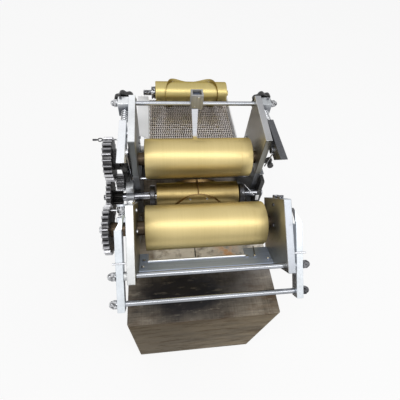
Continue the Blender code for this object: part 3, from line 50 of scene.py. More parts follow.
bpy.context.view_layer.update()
print("frame loaded,", len(frame["nodes"]), "nodes")

# camera, matched to the photograph by lining up edges of known direction
photoCamera = {
    "place": (-0.0898, -0.3939, 1.0856),
    "right": (0.991314, -0.103527, 0.08111),
    "up": (0.037224, 0.812374, 0.581948),
    "back": (-0.126139, -0.573874, 0.809171),
    "lens": 26.98, "sensor": 36.0, "near": 0.05, "far": 20,
}
cameraData = bpy.data.cameras.new("photoCamera")
cameraData.lens = photoCamera["lens"]
cameraData.sensor_width = photoCamera["sensor"]
cameraData.clip_start = photoCamera["near"]
cameraData.clip_end = photoCamera["far"]
camera = bpy.data.objects.new("photoCamera", cameraData)
scene.collection.objects.link(camera)
turn = Matrix([photoCamera[way] for way in ("right", "up", "back")]).transposed().to_4x4()
camera.matrix_world = Matrix.Translation(photoCamera["place"]) @ turn
scene.camera = camera


# shader maths: a socket that plain expressions add, subtract and multiply
class Flow:
    def __init__(self, graph, socket):
        self.graph = graph
        self.socket = socket

    def maths(self, operation, *others):
        return self.graph.node("Math", {"operation": operation}, [self, *others])

    def __add__(self, other):
        return self.maths("ADD", other)

    def __sub__(self, other):
        return self.maths("SUBTRACT", other)

    def __rsub__(self, other):
        return self.graph.node("Math", {"operation": "SUBTRACT"}, [other, self])

    def __mul__(self, other):
        return self.maths("MULTIPLY", other)

    __radd__, __rmul__ = __add__, __mul__

    def root(self):
        return self.maths("SQRT")

    def most(self, other):
        return self.maths("MAXIMUM", other)

    def ranged(self, low, high):
        # 0 below low, 1 above high
        return self.graph.node("MapRange", {}, {"Value": self, "From Min": low, "From Max": high})


class Graph:
    def __init__(self, tree):
        self.tree = tree

    def node(self, kind, settings=None, values=None, out=0):
        made = self.tree.nodes.new("ShaderNode" + kind)
        for key, value in (settings or {}).items():
            if key == "stops":
                ramp = made.color_ramp
                while len(ramp.elements) < len(value):
                    ramp.elements.new(0.5)
                for element, (place, colour) in zip(ramp.elements, value):
                    element.position = place
                    element.color = (*colour, 1)
            else:
                setattr(made, key, value)
        named = values.items() if isinstance(values, dict) else enumerate(values or [])
        for key, value in named:
            self.feed(made.inputs[key], value)
        return Flow(self, made.outputs[out] if made.outputs else None)

    def feed(self, socket, value):
        if isinstance(value, Flow):
            self.tree.links.new(value.socket, socket)
        else:
            socket.default_value = (*value, 1) if socket.type == "RGBA" else value

    def straight(self):
        # 1 for what the camera sees, also in a mirror or through glass
        rays = self.node("LightPath").socket.node.outputs
        seen, mirrored, through = [Flow(self, rays[f"Is {kind} Ray"]) for kind in ("Camera", "Glossy", "Transmission")]
        return seen.most(mirrored).most(through)


class Finish(Graph):
    def __init__(self, name, **fixed):
        self.material = bpy.data.materials.new(name)
        self.material.use_nodes = True
        super().__init__(self.material.node_tree)
        self.shader = self.tree.nodes["Principled BSDF"]
        for socket, value in fixed.items():
            self.feed(self.shader.inputs[socket.replace("_", " ")], value)

    def done(self, colour, roughness, normal=None):
        for socket, value in (("Base Color", colour), ("Roughness", roughness), ("Normal", normal)):
            if value is not None:
                self.feed(self.shader.inputs[socket], value)
        return self.material

    def place(self):
        return self.node("TexCoord", out=3)

    def noise(self, scale, stretch=(1, 1, 1), detail=3.0, roughness=0.5, shift=(0, 0, 0)):
        spot = self.node("Mapping", {}, {"Vector": self.place(), "Location": shift, "Scale": stretch})
        return self.node("TexNoise", {}, {"Vector": spot, "Scale": scale, "Detail": detail, "Roughness": roughness})

    def axes(self):
        split = self.node("SeparateXYZ", {}, [self.place()]).socket.node
        return [Flow(self, split.outputs[k]) for k in range(3)]

    def blend(self, factor, first, second, way="MIX"):
        return self.node("Mix", {"data_type": "RGBA", "blend_type": way}, {0: factor, 6: first, 7: second}, out=2)

    def ramp(self, factor, stops):
        return self.node("ValToRGB", {"stops": stops}, [factor])

    def scaled(self, colour, factor):
        return self.node("VectorMath", {"operation": "SCALE"}, {0: colour, "Scale": factor})

    def bump(self, height, strength, distance):
        return self.node("Bump", {}, {"Height": height, "Strength": strength, "Distance": distance})


# turned brass: lathe lines run round the piece, with a slow drift of tone and a few darker handling marks
def brassFinish(name, light, dark, lines, roughness, tarnish):
    finish = Finish(name, Metallic=1.0, Specular_Tint=(0.42, 0.34, 0.20))
    broad = finish.noise(9, (1.6, 0.25, 0.25), 2)
    fine = finish.noise(lines, (1, 0.004, 0.004), 4, 0.65)
    marks = finish.noise(34, (1, 1, 1), 5, 0.7).ranged(0.58, 0.78)
    tone = finish.ramp(fine * 0.5 + broad * 0.5, [(0.25, dark), (0.75, light)])
    dull = [channel * 0.62 for channel in dark]
    return finish.done(finish.blend(marks * tarnish, tone, dull),
                       roughness + fine * 0.12 + broad * 0.06 + marks * 0.08, finish.bump(fine, 0.10, 0.0004))


# worked metal: fine lines along the direction with the small stretch, soft patches and scattered dark specks
def metalFinish(name, light, dark, stretch, scale, roughness, bumpiness=0.08, specks=0.2, metallic=1.0, spread=0.21,
                rim=(1, 1, 1)):
    finish = Finish(name, Metallic=metallic, Specular_Tint=rim)
    broad = finish.noise(7, (1, 1, 1), 3)
    fine = finish.noise(scale, stretch, 4, 0.6)
    dirt = finish.noise(60, (1, 1, 1), 6, 0.75).ranged(0.60, 0.76)
    tone = finish.ramp(fine * 0.5 + broad * 0.5, [(0.51 - spread, dark), (0.51 + spread, light)])
    soiled = [channel * 0.45 for channel in dark]
    return finish.done(finish.blend(dirt * specks, tone, soiled), roughness + fine * 0.14 + dirt * 0.1,
                       finish.bump(fine, bumpiness, 0.0003))


# cut gear: dark oiled body, tooth tips rubbed bright; the bright tips are also a painted highlight
def gearFinish(name, axis, root, tip):
    finish = Finish(name, Metallic=1.0)
    y, z = finish.axes()[1:]
    across, height = y - axis[0], z - axis[1]
    far = (across * across + height * height).root()
    grain = finish.noise(240, (1, 1, 1), 4, 0.6)
    rubbedAndHighlit = far.ranged(root, tip) * (0.35 + grain * 0.9)
    greasy = finish.ramp(finish.noise(40, detail=4), [(0.35, (0.045, 0.044, 0.046)), (0.7, (0.15, 0.148, 0.15))])
    return finish.done(finish.blend(rubbedAndHighlit, greasy, (0.50, 0.50, 0.52)), 0.42 - rubbedAndHighlit * 0.16 + grain * 0.1,
                       finish.bump(grain, 0.15, 0.0003))


def paintFinish(name, light, dark, roughness, grain):
    finish = Finish(name)
    broad = finish.noise(12, (1, 1, 1), 3)
    fine = finish.noise(grain, (1, 1, 1), 2)
    return finish.done(finish.ramp(broad * 0.7 + fine * 0.3, [(0.3, dark), (0.7, light)]), roughness + broad * 0.1,
                       finish.bump(fine, 0.1, 0.0002))


# side plate: painted light and shade per facet, with one colour outside faceX and another inside it, and painted
# shadow on a lower part and on the front edge
plateFrontY = 0.0728


def plateFinish(name, edge, face, faceX=0.1413, low=None, lowSpan=None, front=None):
    finish = Finish(name, Metallic=1.0)
    x, y, z = finish.axes()
    milled = finish.noise(260, (1, 1, 0.03), 4, 0.6)
    cloudy = finish.noise(11, (1, 1, 1), 4, 0.6)
    dirt = finish.noise(70, (1, 1, 1), 6, 0.75).ranged(0.60, 0.74)
    tone = finish.blend(1 - x.maths("ABSOLUTE").ranged(faceX, faceX + 0.0006), edge, face)
    if low:
        tone = finish.blend(1 - z.ranged(*lowSpan), tone, low)
    if front:
        tone = finish.blend(1 - y.ranged(plateFrontY, plateFrontY + 0.001), tone, front)
    cast = milled * 0.35 + cloudy * 0.65
    darker = finish.scaled(tone, 0.62 + cast * 0.76)
    return finish.done(finish.blend(dirt * 0.35, darker, finish.scaled(tone, 0.35)),
                       0.33 + milled * 0.12 + dirt * 0.1, finish.bump(milled, 0.1, 0.0003))


# cabinet sheet: brushed across and stained brown, with a blue-black patch on the left of the top
cabinetLook = {"light": (0.34, 0.29, 0.225), "dark": (0.070, 0.058, 0.044), "blueBlackPatch": (0.016, 0.017, 0.022),
               "rust": (0.115, 0.070, 0.038), "pale": (0.66, 0.61, 0.52), "blue": (0.13, 0.14, 0.165),
               "scuff": (0.36, 0.32, 0.26), "umber": (0.060, 0.048, 0.034), "sheetLight": (0.30, 0.275, 0.235),
               "sheetDark": (0.15, 0.135, 0.115), "orange": (0.62, 0.30, 0.10), "front": (0.66, 0.61, 0.50),
               "edge": (0.050, 0.030, 0.018), "patchPlace": (-0.040, -0.165), "patchSize": 0.17,
               "topFrom": (0.376, 0.3775), "sideFrom": (0.1748, 0.1756), "backFrom": (0.2238, 0.2246)}


def cabinetFinish():
    finish = Finish("cabinetSheet", Metallic=0.85, Specular_Tint=(0.60, 0.55, 0.48))
    look = cabinetLook
    x, y, z = finish.axes()
    brushed = finish.noise(420, (0.012, 1, 1), 4, 0.6) * 0.5 + finish.noise(420, (1, 0.012, 1), 4, 0.6) * 0.5
    cloudy = finish.noise(14, (0.5, 0.6, 1.1), 6, 0.62)
    stains = finish.noise(30, (0.5, 1.6, 1.6), 6, 0.7, (3, 1, 2)).ranged(0.50, 0.68)
    blotches = finish.noise(48, (1, 1, 1), 5, 0.7, (2, 9, 5))
    scuffs = finish.noise(85, (0.25, 1, 1), 6, 0.75, (5, 2, 7)).ranged(0.56, 0.66)
    soiled = finish.noise(26, (0.6, 1, 1), 5, 0.7, (1, 8, 4)).ranged(0.42, 0.6)
    mottled = finish.noise(22, (0.35, 1, 1.3), 6, 0.7, (6, 3, 1)).ranged(0.38, 0.62)
    top = z.ranged(*look["topFrom"])
    # the sides and the back are cleaner than the front: plain brushed sheet
    plain = x.maths("ABSOLUTE").ranged(*look["sideFrom"]).most(y.ranged(*look["backFrom"])) * (1 - top)
    front = (1 - top) * (1 - plain)
    sheetTone = finish.ramp(brushed * 0.75 + cloudy * 0.25, [(0.35, look["sheetDark"]), (0.65, look["sheetLight"])])
    aside, ahead = x - look["patchPlace"][0], y - look["patchPlace"][1]
    reach = (aside * aside * 0.55 + ahead * ahead * 1.6).root() + cloudy * 0.06
    blueBlackPatch = (1 - reach.ranged(0.08, look["patchSize"])) * z.ranged(0.34, 0.377)
    bluish = top * y.ranged(-0.20, -0.12) * x.ranged(-0.02, 0.08) * cloudy.ranged(0.35, 0.6)
    # the part of the top under the rollers is kept clean
    sheltered = top * y.ranged(-0.085, -0.070) * (1 - y.ranged(-0.01, 0.01)) * x.ranged(-0.118, -0.108)
    orange = sheltered * x.ranged(0.03, 0.07) * (1 - x.ranged(0.085, 0.11)) * blotches.ranged(0.4, 0.6)
    joint = sheltered * (x + 0.0095).maths("ABSOLUTE").maths("LESS_THAN", 0.0016)
    shadowed = front * (1 - x.ranged(-0.06, 0.15)) * (0.35 + cloudy * 1.1)
    fold = z.ranged(0.33, 0.375) * (1 - top) * soiled
    tone = finish.ramp(brushed * 0.3 + cloudy * 0.7, [(0.40, look["dark"]), (0.58, look["light"])])
    for amount, colour in ((stains * 0.6, look["rust"]), (blueBlackPatch * 0.95, look["blueBlackPatch"]), (bluish * 0.6, look["blue"]),
                           (sheltered * blotches.ranged(0.30, 0.50), look["pale"]), (orange * 0.8, look["orange"]),
                           (joint * 0.85, look["blueBlackPatch"]), (plain * 0.8, sheetTone), (shadowed * 0.75, look["umber"]),
                           (scuffs * 0.35, look["scuff"]), (fold * 0.7, look["rust"])):
        tone = finish.blend(amount, tone, colour)
    # painted shade: the front face is multiplied darker than the top
    tone = finish.blend(front * (1.15 - mottled * 0.55), tone, look["front"], "MULTIPLY")
    line = front * z.ranged(0.3715, 0.3755) * (0.35 + mottled * 0.6)
    return finish.done(finish.blend(line, tone, look["edge"]), 0.34 + brushed * 0.1 + stains * 0.18,
                       finish.bump(brushed + cloudy * 0.4, 0.12, 0.0004))


# woven wire: bright on the outer strokes, dark underneath as painted shade
beltLook = {"frontY": 0.152, "rearY": 0.387, "axisZ": 0.5011, "wireFrom": (0.0118, 0.0134),
            "shadedUnder": (0.05, 0.04, 0.034), "bright": (0.80, 0.74, 0.70)}


def beltFinish():
    finish = Finish("beltWire", Metallic=1.0)
    y, z = finish.axes()[1:]
    past = (beltLook["frontY"] - y).most(y - beltLook["rearY"]).most(0.0)
    off = z - beltLook["axisZ"]
    depth = (past * past + off * off).root().ranged(*beltLook["wireFrom"])
    grain = finish.noise(160, detail=4)
    return finish.done(finish.blend(depth * (0.6 + grain * 0.7), beltLook["shadedUnder"], beltLook["bright"]),
                       0.22 + grain * 0.16)


milled, drawn, even, dark = (1, 1, 0.03), (0.02, 1, 1), (1, 1, 1), (0, 0, 0)
brasses = {
    "rollerBrass": ((0.69, 0.57, 0.285), (0.57, 0.455, 0.21), 900, 0.36, 0.08),
    # the mounted drum and its rib are darker copies of the spare's brass: painted shade under the rollers
    "drumBrass": ((0.42, 0.325, 0.145), (0.27, 0.20, 0.085), 700, 0.30, 0.35),
    "ribBrass": ((0.30, 0.20, 0.09), (0.14, 0.09, 0.04), 500, 0.32, 0.5),
    # the journals are near-black bronze as painted shade: the plate's shadow on the left journal, given to both
    "journalBronze": ((0.16, 0.12, 0.08), (0.06, 0.045, 0.035), 800, 0.3, 0.5),
    "spareBrass": ((0.60, 0.50, 0.22), (0.44, 0.36, 0.15), 700, 0.30, 0.3),
    "spareRibBrass": ((0.46, 0.37, 0.15), (0.30, 0.23, 0.09), 500, 0.32, 0.4),
}
metals = {
    "milledAlloy": ((0.78, 0.81, 0.86), (0.60, 0.63, 0.68), milled, 260, 0.36),
    "greyAlloy": ((0.46, 0.48, 0.51), (0.28, 0.29, 0.31), milled, 240, 0.34, 0.1, 0.5),
    "dullAlloy": ((0.32, 0.33, 0.35), (0.16, 0.165, 0.175), (1, 1, 0.05), 240, 0.4, 0.1, 0.6),
    "paleAlloy": ((0.93, 0.95, 0.98), (0.80, 0.82, 0.85), milled, 240, 0.36, 0.1, 0.2),
    # darkArm is a painted-shade copy of the pale alloy of the left draw arm
    "darkArm": ((0.15, 0.155, 0.165), (0.07, 0.07, 0.075), milled, 240, 0.36, 0.1, 0.4),
    "holderAlloy": ((0.42, 0.42, 0.41), (0.24, 0.24, 0.235), milled, 240, 0.4, 0.1, 0.5, 0.6),
    "brightSteel": ((0.78, 0.79, 0.82), (0.54, 0.55, 0.58), drawn, 400, 0.12, 0.03, 0.1, 1.0, 0.21, dark),
    "rodSteel": ((0.52, 0.54, 0.58), (0.26, 0.27, 0.29), drawn, 400, 0.07, 0.02, 0.3, 1.0, 0.21, dark),
    "shaftSteel": ((0.46, 0.47, 0.50), (0.20, 0.20, 0.22), drawn, 300, 0.10, 0.03, 0.4, 1.0, 0.21, dark),
    "panelSteel": ((0.47, 0.54, 0.66), (0.27, 0.315, 0.40), drawn, 320, 0.34, 0.1, 0.5, 0.55),
    "darkSteel": ((0.13, 0.13, 0.14), (0.05, 0.05, 0.055), (0.05, 1, 1), 300, 0.34, 0.1, 0.5),
    "bedSteel": ((0.045, 0.034, 0.028), (0.02, 0.016, 0.014), (0.05, 1, 1), 200, 0.5, 0.1, 0.5),
    # chromeNut and darkNut have high-contrast random patches as painted glints and reflections; darkNut is a darker
    # copy, painted shade
    "chromeNut": ((0.72, 0.73, 0.75), (0.05, 0.05, 0.055), even, 210, 0.12, 0.10, 0.5, 1.0, 0.07),
    "darkNut": ((0.26, 0.265, 0.28), (0.03, 0.03, 0.033), even, 230, 0.16, 0.08, 0.6, 1.0, 0.08),
    # near-black oiled steel, also painted shade on the take-off gear
    "oiledBlack": ((0.05, 0.048, 0.046), (0.015, 0.015, 0.015), even, 200, 0.36, 0.1, 0.5),
    "blueGrey": ((0.13, 0.15, 0.20), (0.05, 0.06, 0.09), even, 90, 0.3, 0.1, 0.4),
    "springWire": ((0.74, 0.75, 0.77), (0.48, 0.49, 0.50), even, 300, 0.16),
}
paints = {
    "blackPaint": ((0.045, 0.043, 0.042), (0.014, 0.014, 0.014), 0.38, 700),
    "blackPlastic": ((0.010, 0.010, 0.010), (0.003, 0.003, 0.003), 0.20, 900),
    "whitePaint": ((0.97, 0.97, 0.98), (0.90, 0.91, 0.92), 0.35, 500),
}
unlit = (0.5, 0.5, 0.5)
# plates and levers: lit and painted-shade copies per side and per facet, painted shadow low down and on the front
# edges of the rear plates, and a brass-brown painted reflection on the inner face of the left front plate
plates = {
    "leverLeft": ((0.70, 0.74, 0.78), (0.17, 0.18, 0.165), 0.1624),
    "leverRight": ((0.70, 0.735, 0.77), (0.07, 0.07, 0.072), 0.1624),
    "rearPlateLeft": ((0.86, 0.88, 0.90), (0.40, 0.41, 0.40), 0.1413, (0.27, 0.28, 0.29), (0.560, 0.640),
                      (0.25, 0.265, 0.27)),
    "rearPlateRight": ((0.36, 0.365, 0.38), (0.60, 0.60, 0.575), 0.1413, (0.46, 0.45, 0.42), (0.56, 0.66),
                       (0.24, 0.235, 0.21)),
    "frontPlateLeft": ((0.56, 0.57, 0.57), (0.22, 0.20, 0.135)),
    "frontPlateRight": ((0.36, 0.38, 0.41), (0.39, 0.39, 0.37)),
    # the left lug block is lit and the right one is a painted-shade copy; both are darker below the top as painted
    # shade
    "lugPale": ((0.82, 0.84, 0.86), unlit, 0.1, (0.36, 0.38, 0.41), (0.640, 0.6515)),
    "lugGrey": ((0.44, 0.46, 0.48), unlit, 0.1, (0.24, 0.25, 0.27), (0.640, 0.6515)),
}
finishes = {"cabinetSheet": cabinetFinish(), "beltWire": beltFinish()}
for maker, table in ((brassFinish, brasses), (metalFinish, metals), (paintFinish, paints), (plateFinish, plates)):
    for name, values in table.items():
        finishes[name] = maker(name, *values)
print("finishes made")

# carried nodes keep their shape and get the finish of their slot or one of their own
slotFinish = {
    "stainless": "cabinetSheet", "brass": "rollerBrass", "alloy": "milledAlloy", "bright_steel": "brightSteel",
    "gear_steel": "darkSteel", "black_metal": "blackPaint", "black_plastic": "blackPlastic",
    "belt_wire": "beltWire", "white_metal": "whitePaint", "spring_steel": "springWire",
}
ownFinish = {
    "scraper_panel": "panelSteel", "bearing_housing_left": "dullAlloy", "cross_bar": "rodSteel",
    # the take-off gear's near-black is painted shade, and the right draw arm is a painted-shade copy of the left one
    "takeoff_gear": "oiledBlack", "draw_arm_left": "paleAlloy", "draw_arm_right": "darkArm",
    "clamp_lever_left": "leverLeft", "clamp_lever_right": "leverRight", "rear_plate_left": "rearPlateLeft",
    "rear_plate_right": "rearPlateRight", "front_plate_left": "frontPlateLeft", "front_plate_right": "frontPlateRight",
}
for title in ("lower_plate_", "front_leg_", "pivot_bracket_"):
    ownFinish[title + "left"] = ownFinish[title + "right"] = "dullAlloy"
for part in frame["record"]["subparts"]:
    materials = frame["nodes"][part["node"]].data.materials
    materials.clear()
    materials.append(finishes[ownFinish.get(part["node"], slotFinish[part["material_slot"]])])


def at(x, y, z):
    return Matrix.Translation((x, y, z))


def rolled(degrees, axis="X"):
    return Matrix.Rotation(math.radians(degrees), 4, axis)


# the head stands open about its pivot
headOpening = {"y": 0.002, "z": 0.430, "degrees": 38}
openHead = (at(0, headOpening["y"], headOpening["z"]) @ rolled(headOpening["degrees"])
            @ at(0, -headOpening["y"], -headOpening["z"]))

# turns a part that points along +X to point along another axis
facing = {"+X": Matrix.Identity(4), "-X": rolled(180, "Z"), "+Y": rolled(90, "Z"), "-Y": rolled(-90, "Z"),
          "+Z": rolled(-90, "Y")}


def outward(side):
    return facing["+X" if side > 0 else "-X"]


def mirrored(side):
    return Matrix.Scale(side, 4, (1, 0, 0)) if side < 0 else Matrix.Identity(4)


# shapes: each maker returns a bmesh, which madePiece takes into the piece at the place that comes with it
def spun(part, axis, steps):
    bmesh.ops.spin(part, geom=part.verts[:] + part.edges[:], cent=(0, 0, 0), axis=axis, angle=2 * math.pi,
                   steps=steps, use_merge=True)
    bmesh.ops.remove_doubles(part, verts=part.verts, dist=1e-6)
    return part


def turned(outline, steps):
    # outline of (along, radius), spun about X
    part = bmesh.new()
    points = [part.verts.new((along, 0, radius)) for along, radius in outline]
    for pair in zip(points, points[1:]):
        part.edges.new(pair)
    return spun(part, (1, 0, 0), steps)


def stick(start, end, radius, steps, core=0.001):
    return turned([(start, core), (start, radius), (end, radius), (end, core)], steps)


def softened(part, edges, width, segments=2):
    bmesh.ops.bevel(part, geom=edges, offset=width, segments=segments, affect="EDGES", profile=0.5, material=-1)


def pulled(part, faces, height):
    # extrudes faces along Z and returns the new vertices
    made = bmesh.ops.extrude_face_region(part, geom=faces)["geom"]
    lifted = [item for item in made if isinstance(item, bmesh.types.BMVert)]
    bmesh.ops.translate(part, vec=(0, 0, height), verts=lifted)
    return lifted


def quarterTurned(part, axis, sign=1):
    bmesh.ops.rotate(part, cent=(0, 0, 0), matrix=Matrix.Rotation(sign * math.pi / 2, 3, axis), verts=part.verts)
    return part


def topFace(part):
    return [max(part.faces, key=lambda face: face.calc_center_median().z)]


def dished(part, rim, slope, depth):
    # sinks the top face inside its rim
    top = topFace(part)
    bmesh.ops.inset_region(part, faces=top, thickness=rim)
    bmesh.ops.inset_region(part, faces=top, thickness=slope, depth=-depth)


def flatRing(outer, inner, steps):
    part = bmesh.new()
    for radius in (outer, inner):
        bmesh.ops.create_circle(part, cap_ends=False, segments=steps, radius=radius)
    bmesh.ops.bridge_loops(part, edges=part.edges[:])
    return part


def block(size, edge=0.0006, segments=2):
    part = bmesh.new()
    bmesh.ops.create_cube(part, size=1)
    bmesh.ops.scale(part, vec=size, verts=part.verts)
    softened(part, part.edges[:], edge, segments)
    return part


def hexagon(across, height, edge=0.0006):
    # hex prism that stands on X = 0 and points along +X
    part = bmesh.new()
    bmesh.ops.create_circle(part, cap_ends=True, segments=6, radius=across / math.sqrt(3))
    pulled(part, part.faces[:], height)
    softened(part, part.edges[:], edge)
    return quarterTurned(part, "Y")


def screwHead(radius, height):
    # cap head along +X with a socket sunk into it
    part = bmesh.new()
    bmesh.ops.create_circle(part, cap_ends=True, segments=24, radius=radius)
    lifted = pulled(part, part.faces[:], height)
    softened(part, [edge for edge in part.edges if all(vert in lifted for vert in edge.verts)], radius * 0.12)
    top = topFace(part)
    bmesh.ops.inset_region(part, faces=top, thickness=radius * 0.42)
    pulled(part, top, -height * 0.55)
    bmesh.ops.delete(part, geom=top, context="FACES")
    return quarterTurned(part, "Y")


def linked(name, data, body, slotName, standsFor):
    piece = bpy.data.objects.new(name, data)
    scene.collection.objects.link(piece)
    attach(piece, body)
    if standsFor:
        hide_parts(standsFor)


def madePiece(name, parts, finish, body, slotName, standsFor=None, angle=35):
    # parts are pairs of a shape and its place
    shape = bmesh.new()
    for part, place in parts:
        bmesh.ops.transform(part, matrix=place, verts=part.verts)
        carrier = bpy.data.meshes.new("carrier")
        part.to_mesh(carrier)
        part.free()
        shape.from_mesh(carrier)
        bpy.data.meshes.remove(carrier)
    bmesh.ops.recalc_face_normals(shape, faces=shape.faces)
    mesh = bpy.data.meshes.new(name)
    shape.to_mesh(mesh)
    shape.free()
    mesh.materials.append(finishes[finish])
    mesh.shade_smooth()
    mesh.set_sharp_from_angle(angle=math.radians(angle))
    linked(name, mesh, body, slotName, standsFor)


def wirePiece(name, runs, radius, finish, body, slotName, standsFor=None):
    # drawn wire: each run is a list of points
    wire = bpy.data.curves.new(name, "CURVE")
    wire.dimensions = "3D"
    wire.bevel_depth = radius
    wire.bevel_resolution = 0
    wire.use_fill_caps = True
    for run in runs:
        spline = wire.splines.new("POLY")
        spline.points.add(len(run) - 1)
        for point, place in zip(spline.points, run):
            point.co = (*place, 1)
        spline.use_smooth = False
    wire.materials.append(finishes[finish])
    linked(name, wire, body, slotName, standsFor)


def around(degrees, x, radius, way="+Z"):
    # a place at a radius from the X axis
    return at(x, 0, 0) @ rolled(degrees) @ at(0, 0, radius) @ facing[way]


def otherSide(outline):
    return [(-along, radius) for along, radius in reversed(outline)]


def pin(start, end, radius, cut, edge, steps, core=0.001):
    # round bar, both ends chamfered by cut across and edge along
    inward = edge if end > start else -edge
    return turned([(start, core), (start, radius - cut), (start + inward, radius), (end - inward, radius),
                   (end, radius - cut), (end, core)], steps)


def peg(start, end, radius):
    # thin pin with its far end chamfered
    inward = 0.0005 if end > start else -0.0005
    return turned([(start, 0.0003), (start, radius), (end - inward, radius), (end, radius - 0.0004),
                   (end, 0.0003)], 16)


def joined(nodeName):
    node = frame["nodes"][nodeName]
    node.modifiers.new("joined", "WELD").merge_threshold = 0.00001
    return node


def easeEdges(nodeName, width, degrees):
    eased = joined(nodeName).modifiers.new("eased", "BEVEL")
    eased.width = width
    eased.segments = 2
    eased.limit_method = "ANGLE"
    eased.angle_limit = math.radians(degrees)


# axes that run along X, as (y, z)
rearAxis, frontAxis, dieAxis, pinionAxis = (0.106, 0.557), (0.010, 0.557), (0.058, 0.473862), (0.083456, 0.499318)
rearRollerPlace, frontRollerPlace, diePlace = at(0, *rearAxis), openHead @ at(0, *frontAxis), at(0, *dieAxis)
sides = ((-1, "left"), (1, "right"))

# sheeting rollers: sleeve with sunk end faces and one turned line, and stepped journals
roller = {"half": 0.125, "radius": 0.047, "edge": 0.0014, "sink": 0.002, "rim": 0.0405, "neck": 0.0152,
          "shoulder": 0.021, "shoulderWide": 0.0025, "rightEnd": 0.160,
          "line": ((0.098, 0), (0.0978, 0.00025), (0.0974, 0.00025), (0.0972, 0))}


def rollerSleeve():
    half, radius, edge, rim = [roller[key] for key in ("half", "radius", "edge", "rim")]
    sunk = half - roller["sink"]
    side = [(sunk, roller["neck"]), (sunk, rim), (half, rim + 0.0012), (half, radius - edge),
            (half - edge * 0.35, radius - edge * 0.35), (half - edge, radius)]
    line = [(along, radius - dip) for along, dip in roller["line"]]
    return turned(side + line + otherSide(side), 160)


def journal(start, end):
    step = 1 if end > start else -1
    neck, shoulder, wide = roller["neck"], roller["shoulder"], roller["shoulderWide"]
    return turned([(start, 0.001), (start, shoulder), (start + step * wide, shoulder),
                   (start + step * (wide + 0.001), neck - 0.0002), (end - step * 0.0012, neck - 0.0002),
                   (end, neck - 0.0014), (end, 0.001)], 64)


def rollerPieces(title, nodeName, body, place, leftEnd):
    start = roller["half"] - roller["sink"]
    madePiece(title + "Sleeve", [(rollerSleeve(), place)], "rollerBrass", body, "brass", nodeName)
    journals = [(journal(start, roller["rightEnd"]), place), (journal(-start, leftEnd), place)]
    madePiece(title + "Journals", journals, "journalBronze", body, "brass")


rollerPieces("rearRoller", "rear_roller", "rear_roller_set", rearRollerPlace, -0.220)
rollerPieces("frontRoller", "front_roller", "front_roller_set", frontRollerPlace, -0.2105)
print("rollers turned")

# cutting drum, its shaft, collars and cutting rib
drum = {"half": 0.102, "radius": 0.031, "edge": 0.0012, "bore": 0.0105, "collarRadius": 0.027,
        "collarFrom": 0.106, "collarTo": 0.118, "shaft": 0.010, "leftEnd": -0.222, "rightEnd": 0.1696,
        "ribStart": 56.6}
rib = {"ring": 0.076, "wide": 0.0025, "low": 0.0003, "high": 0.0075, "segments": 240, "seamSteps": 36,
       "land": 0.55, "overlap": 0.0004, "screws": 10, "screwsInside": 0.009}


def drumSleeve():
    half, radius, edge = drum["half"], drum["radius"], drum["edge"]
    side = [(half, drum["bore"]), (half, radius - edge), (half - edge * 0.35, radius - edge * 0.35),
            (half - edge, radius)]
    return turned(side + otherSide(side) + [side[0]], 120)


def ribMiddle(startDegrees):
    return math.radians(startDegrees) - rib["ring"] / drum["radius"]


def ribParts(startDegrees, place):
    # a ring and the straight seam between its two ends, drawn flat and then wrapped round the drum
    rise = rib["high"] - rib["low"]
    ring, seam = flatRing(rib["ring"], rib["ring"] - rib["wide"], rib["segments"]), bmesh.new()
    bmesh.ops.translate(ring, vec=(0, 0, rib["low"]), verts=ring.verts)
    # the top is ground to a narrow land
    middle = rib["ring"] - rib["wide"] / 2
    for vert in pulled(ring, ring.faces[:], rise):
        out = math.hypot(vert.co.x, vert.co.y)
        vert.co.xy = vert.co.xy * ((middle + (out - middle) * rib["land"]) / out)
    reach = 2 * math.pi * drum["radius"] - 2 * rib["ring"] + 2 * rib["overlap"]
    bmesh.ops.create_grid(seam, x_segments=1, y_segments=rib["seamSteps"], size=0.5)
    bmesh.ops.scale(seam, vec=(rib["wide"], reach, 1), verts=seam.verts)
    bmesh.ops.translate(seam, vec=(0, rib["ring"] + reach / 2 - rib["overlap"], rib["low"]), verts=seam.verts)
    for vert in pulled(seam, seam.faces[:], rise):
        vert.co.x *= rib["land"]
    for part in (ring, seam):
        for vert in part.verts:
            turnBy = ribMiddle(startDegrees) + vert.co.y / drum["radius"]
            height = drum["radius"] + vert.co.z
            vert.co = (vert.co.x, -height * math.cos(turnBy), height * math.sin(turnBy))
        yield part, place


def ribScrews():
    reach = rib["ring"] - rib["screwsInside"]
    for k in range(rib["screws"]):
        spin = 2 * math.pi * (k + 0.5) / rib["screws"]
        turnBy = ribMiddle(drum["ribStart"]) + reach * math.cos(spin) / drum["radius"]
        stand = at(reach * math.sin(spin), 0, 0) @ Matrix.Rotation(-turnBy, 4, "X")
        yield screwHead(0.0026, 0.0014), diePlace @ stand @ at(0, -drum["radius"], 0) @ facing["-Y"]


def dieCollars():
    for side in (-1, 1):
        yield pin(side * drum["collarFrom"], side * drum["collarTo"], drum["collarRadius"], 0.001, 0.001, 64), diePlace


def collarScrews():
    middle = (drum["collarFrom"] + drum["collarTo"]) / 2
    for side in (-1, 1):
        for degrees in (35, 155, 275):
            yield (screwHead(0.0032, 0.0045),
                   diePlace @ around(degrees, side * middle, drum["collarRadius"] - 0.0006))


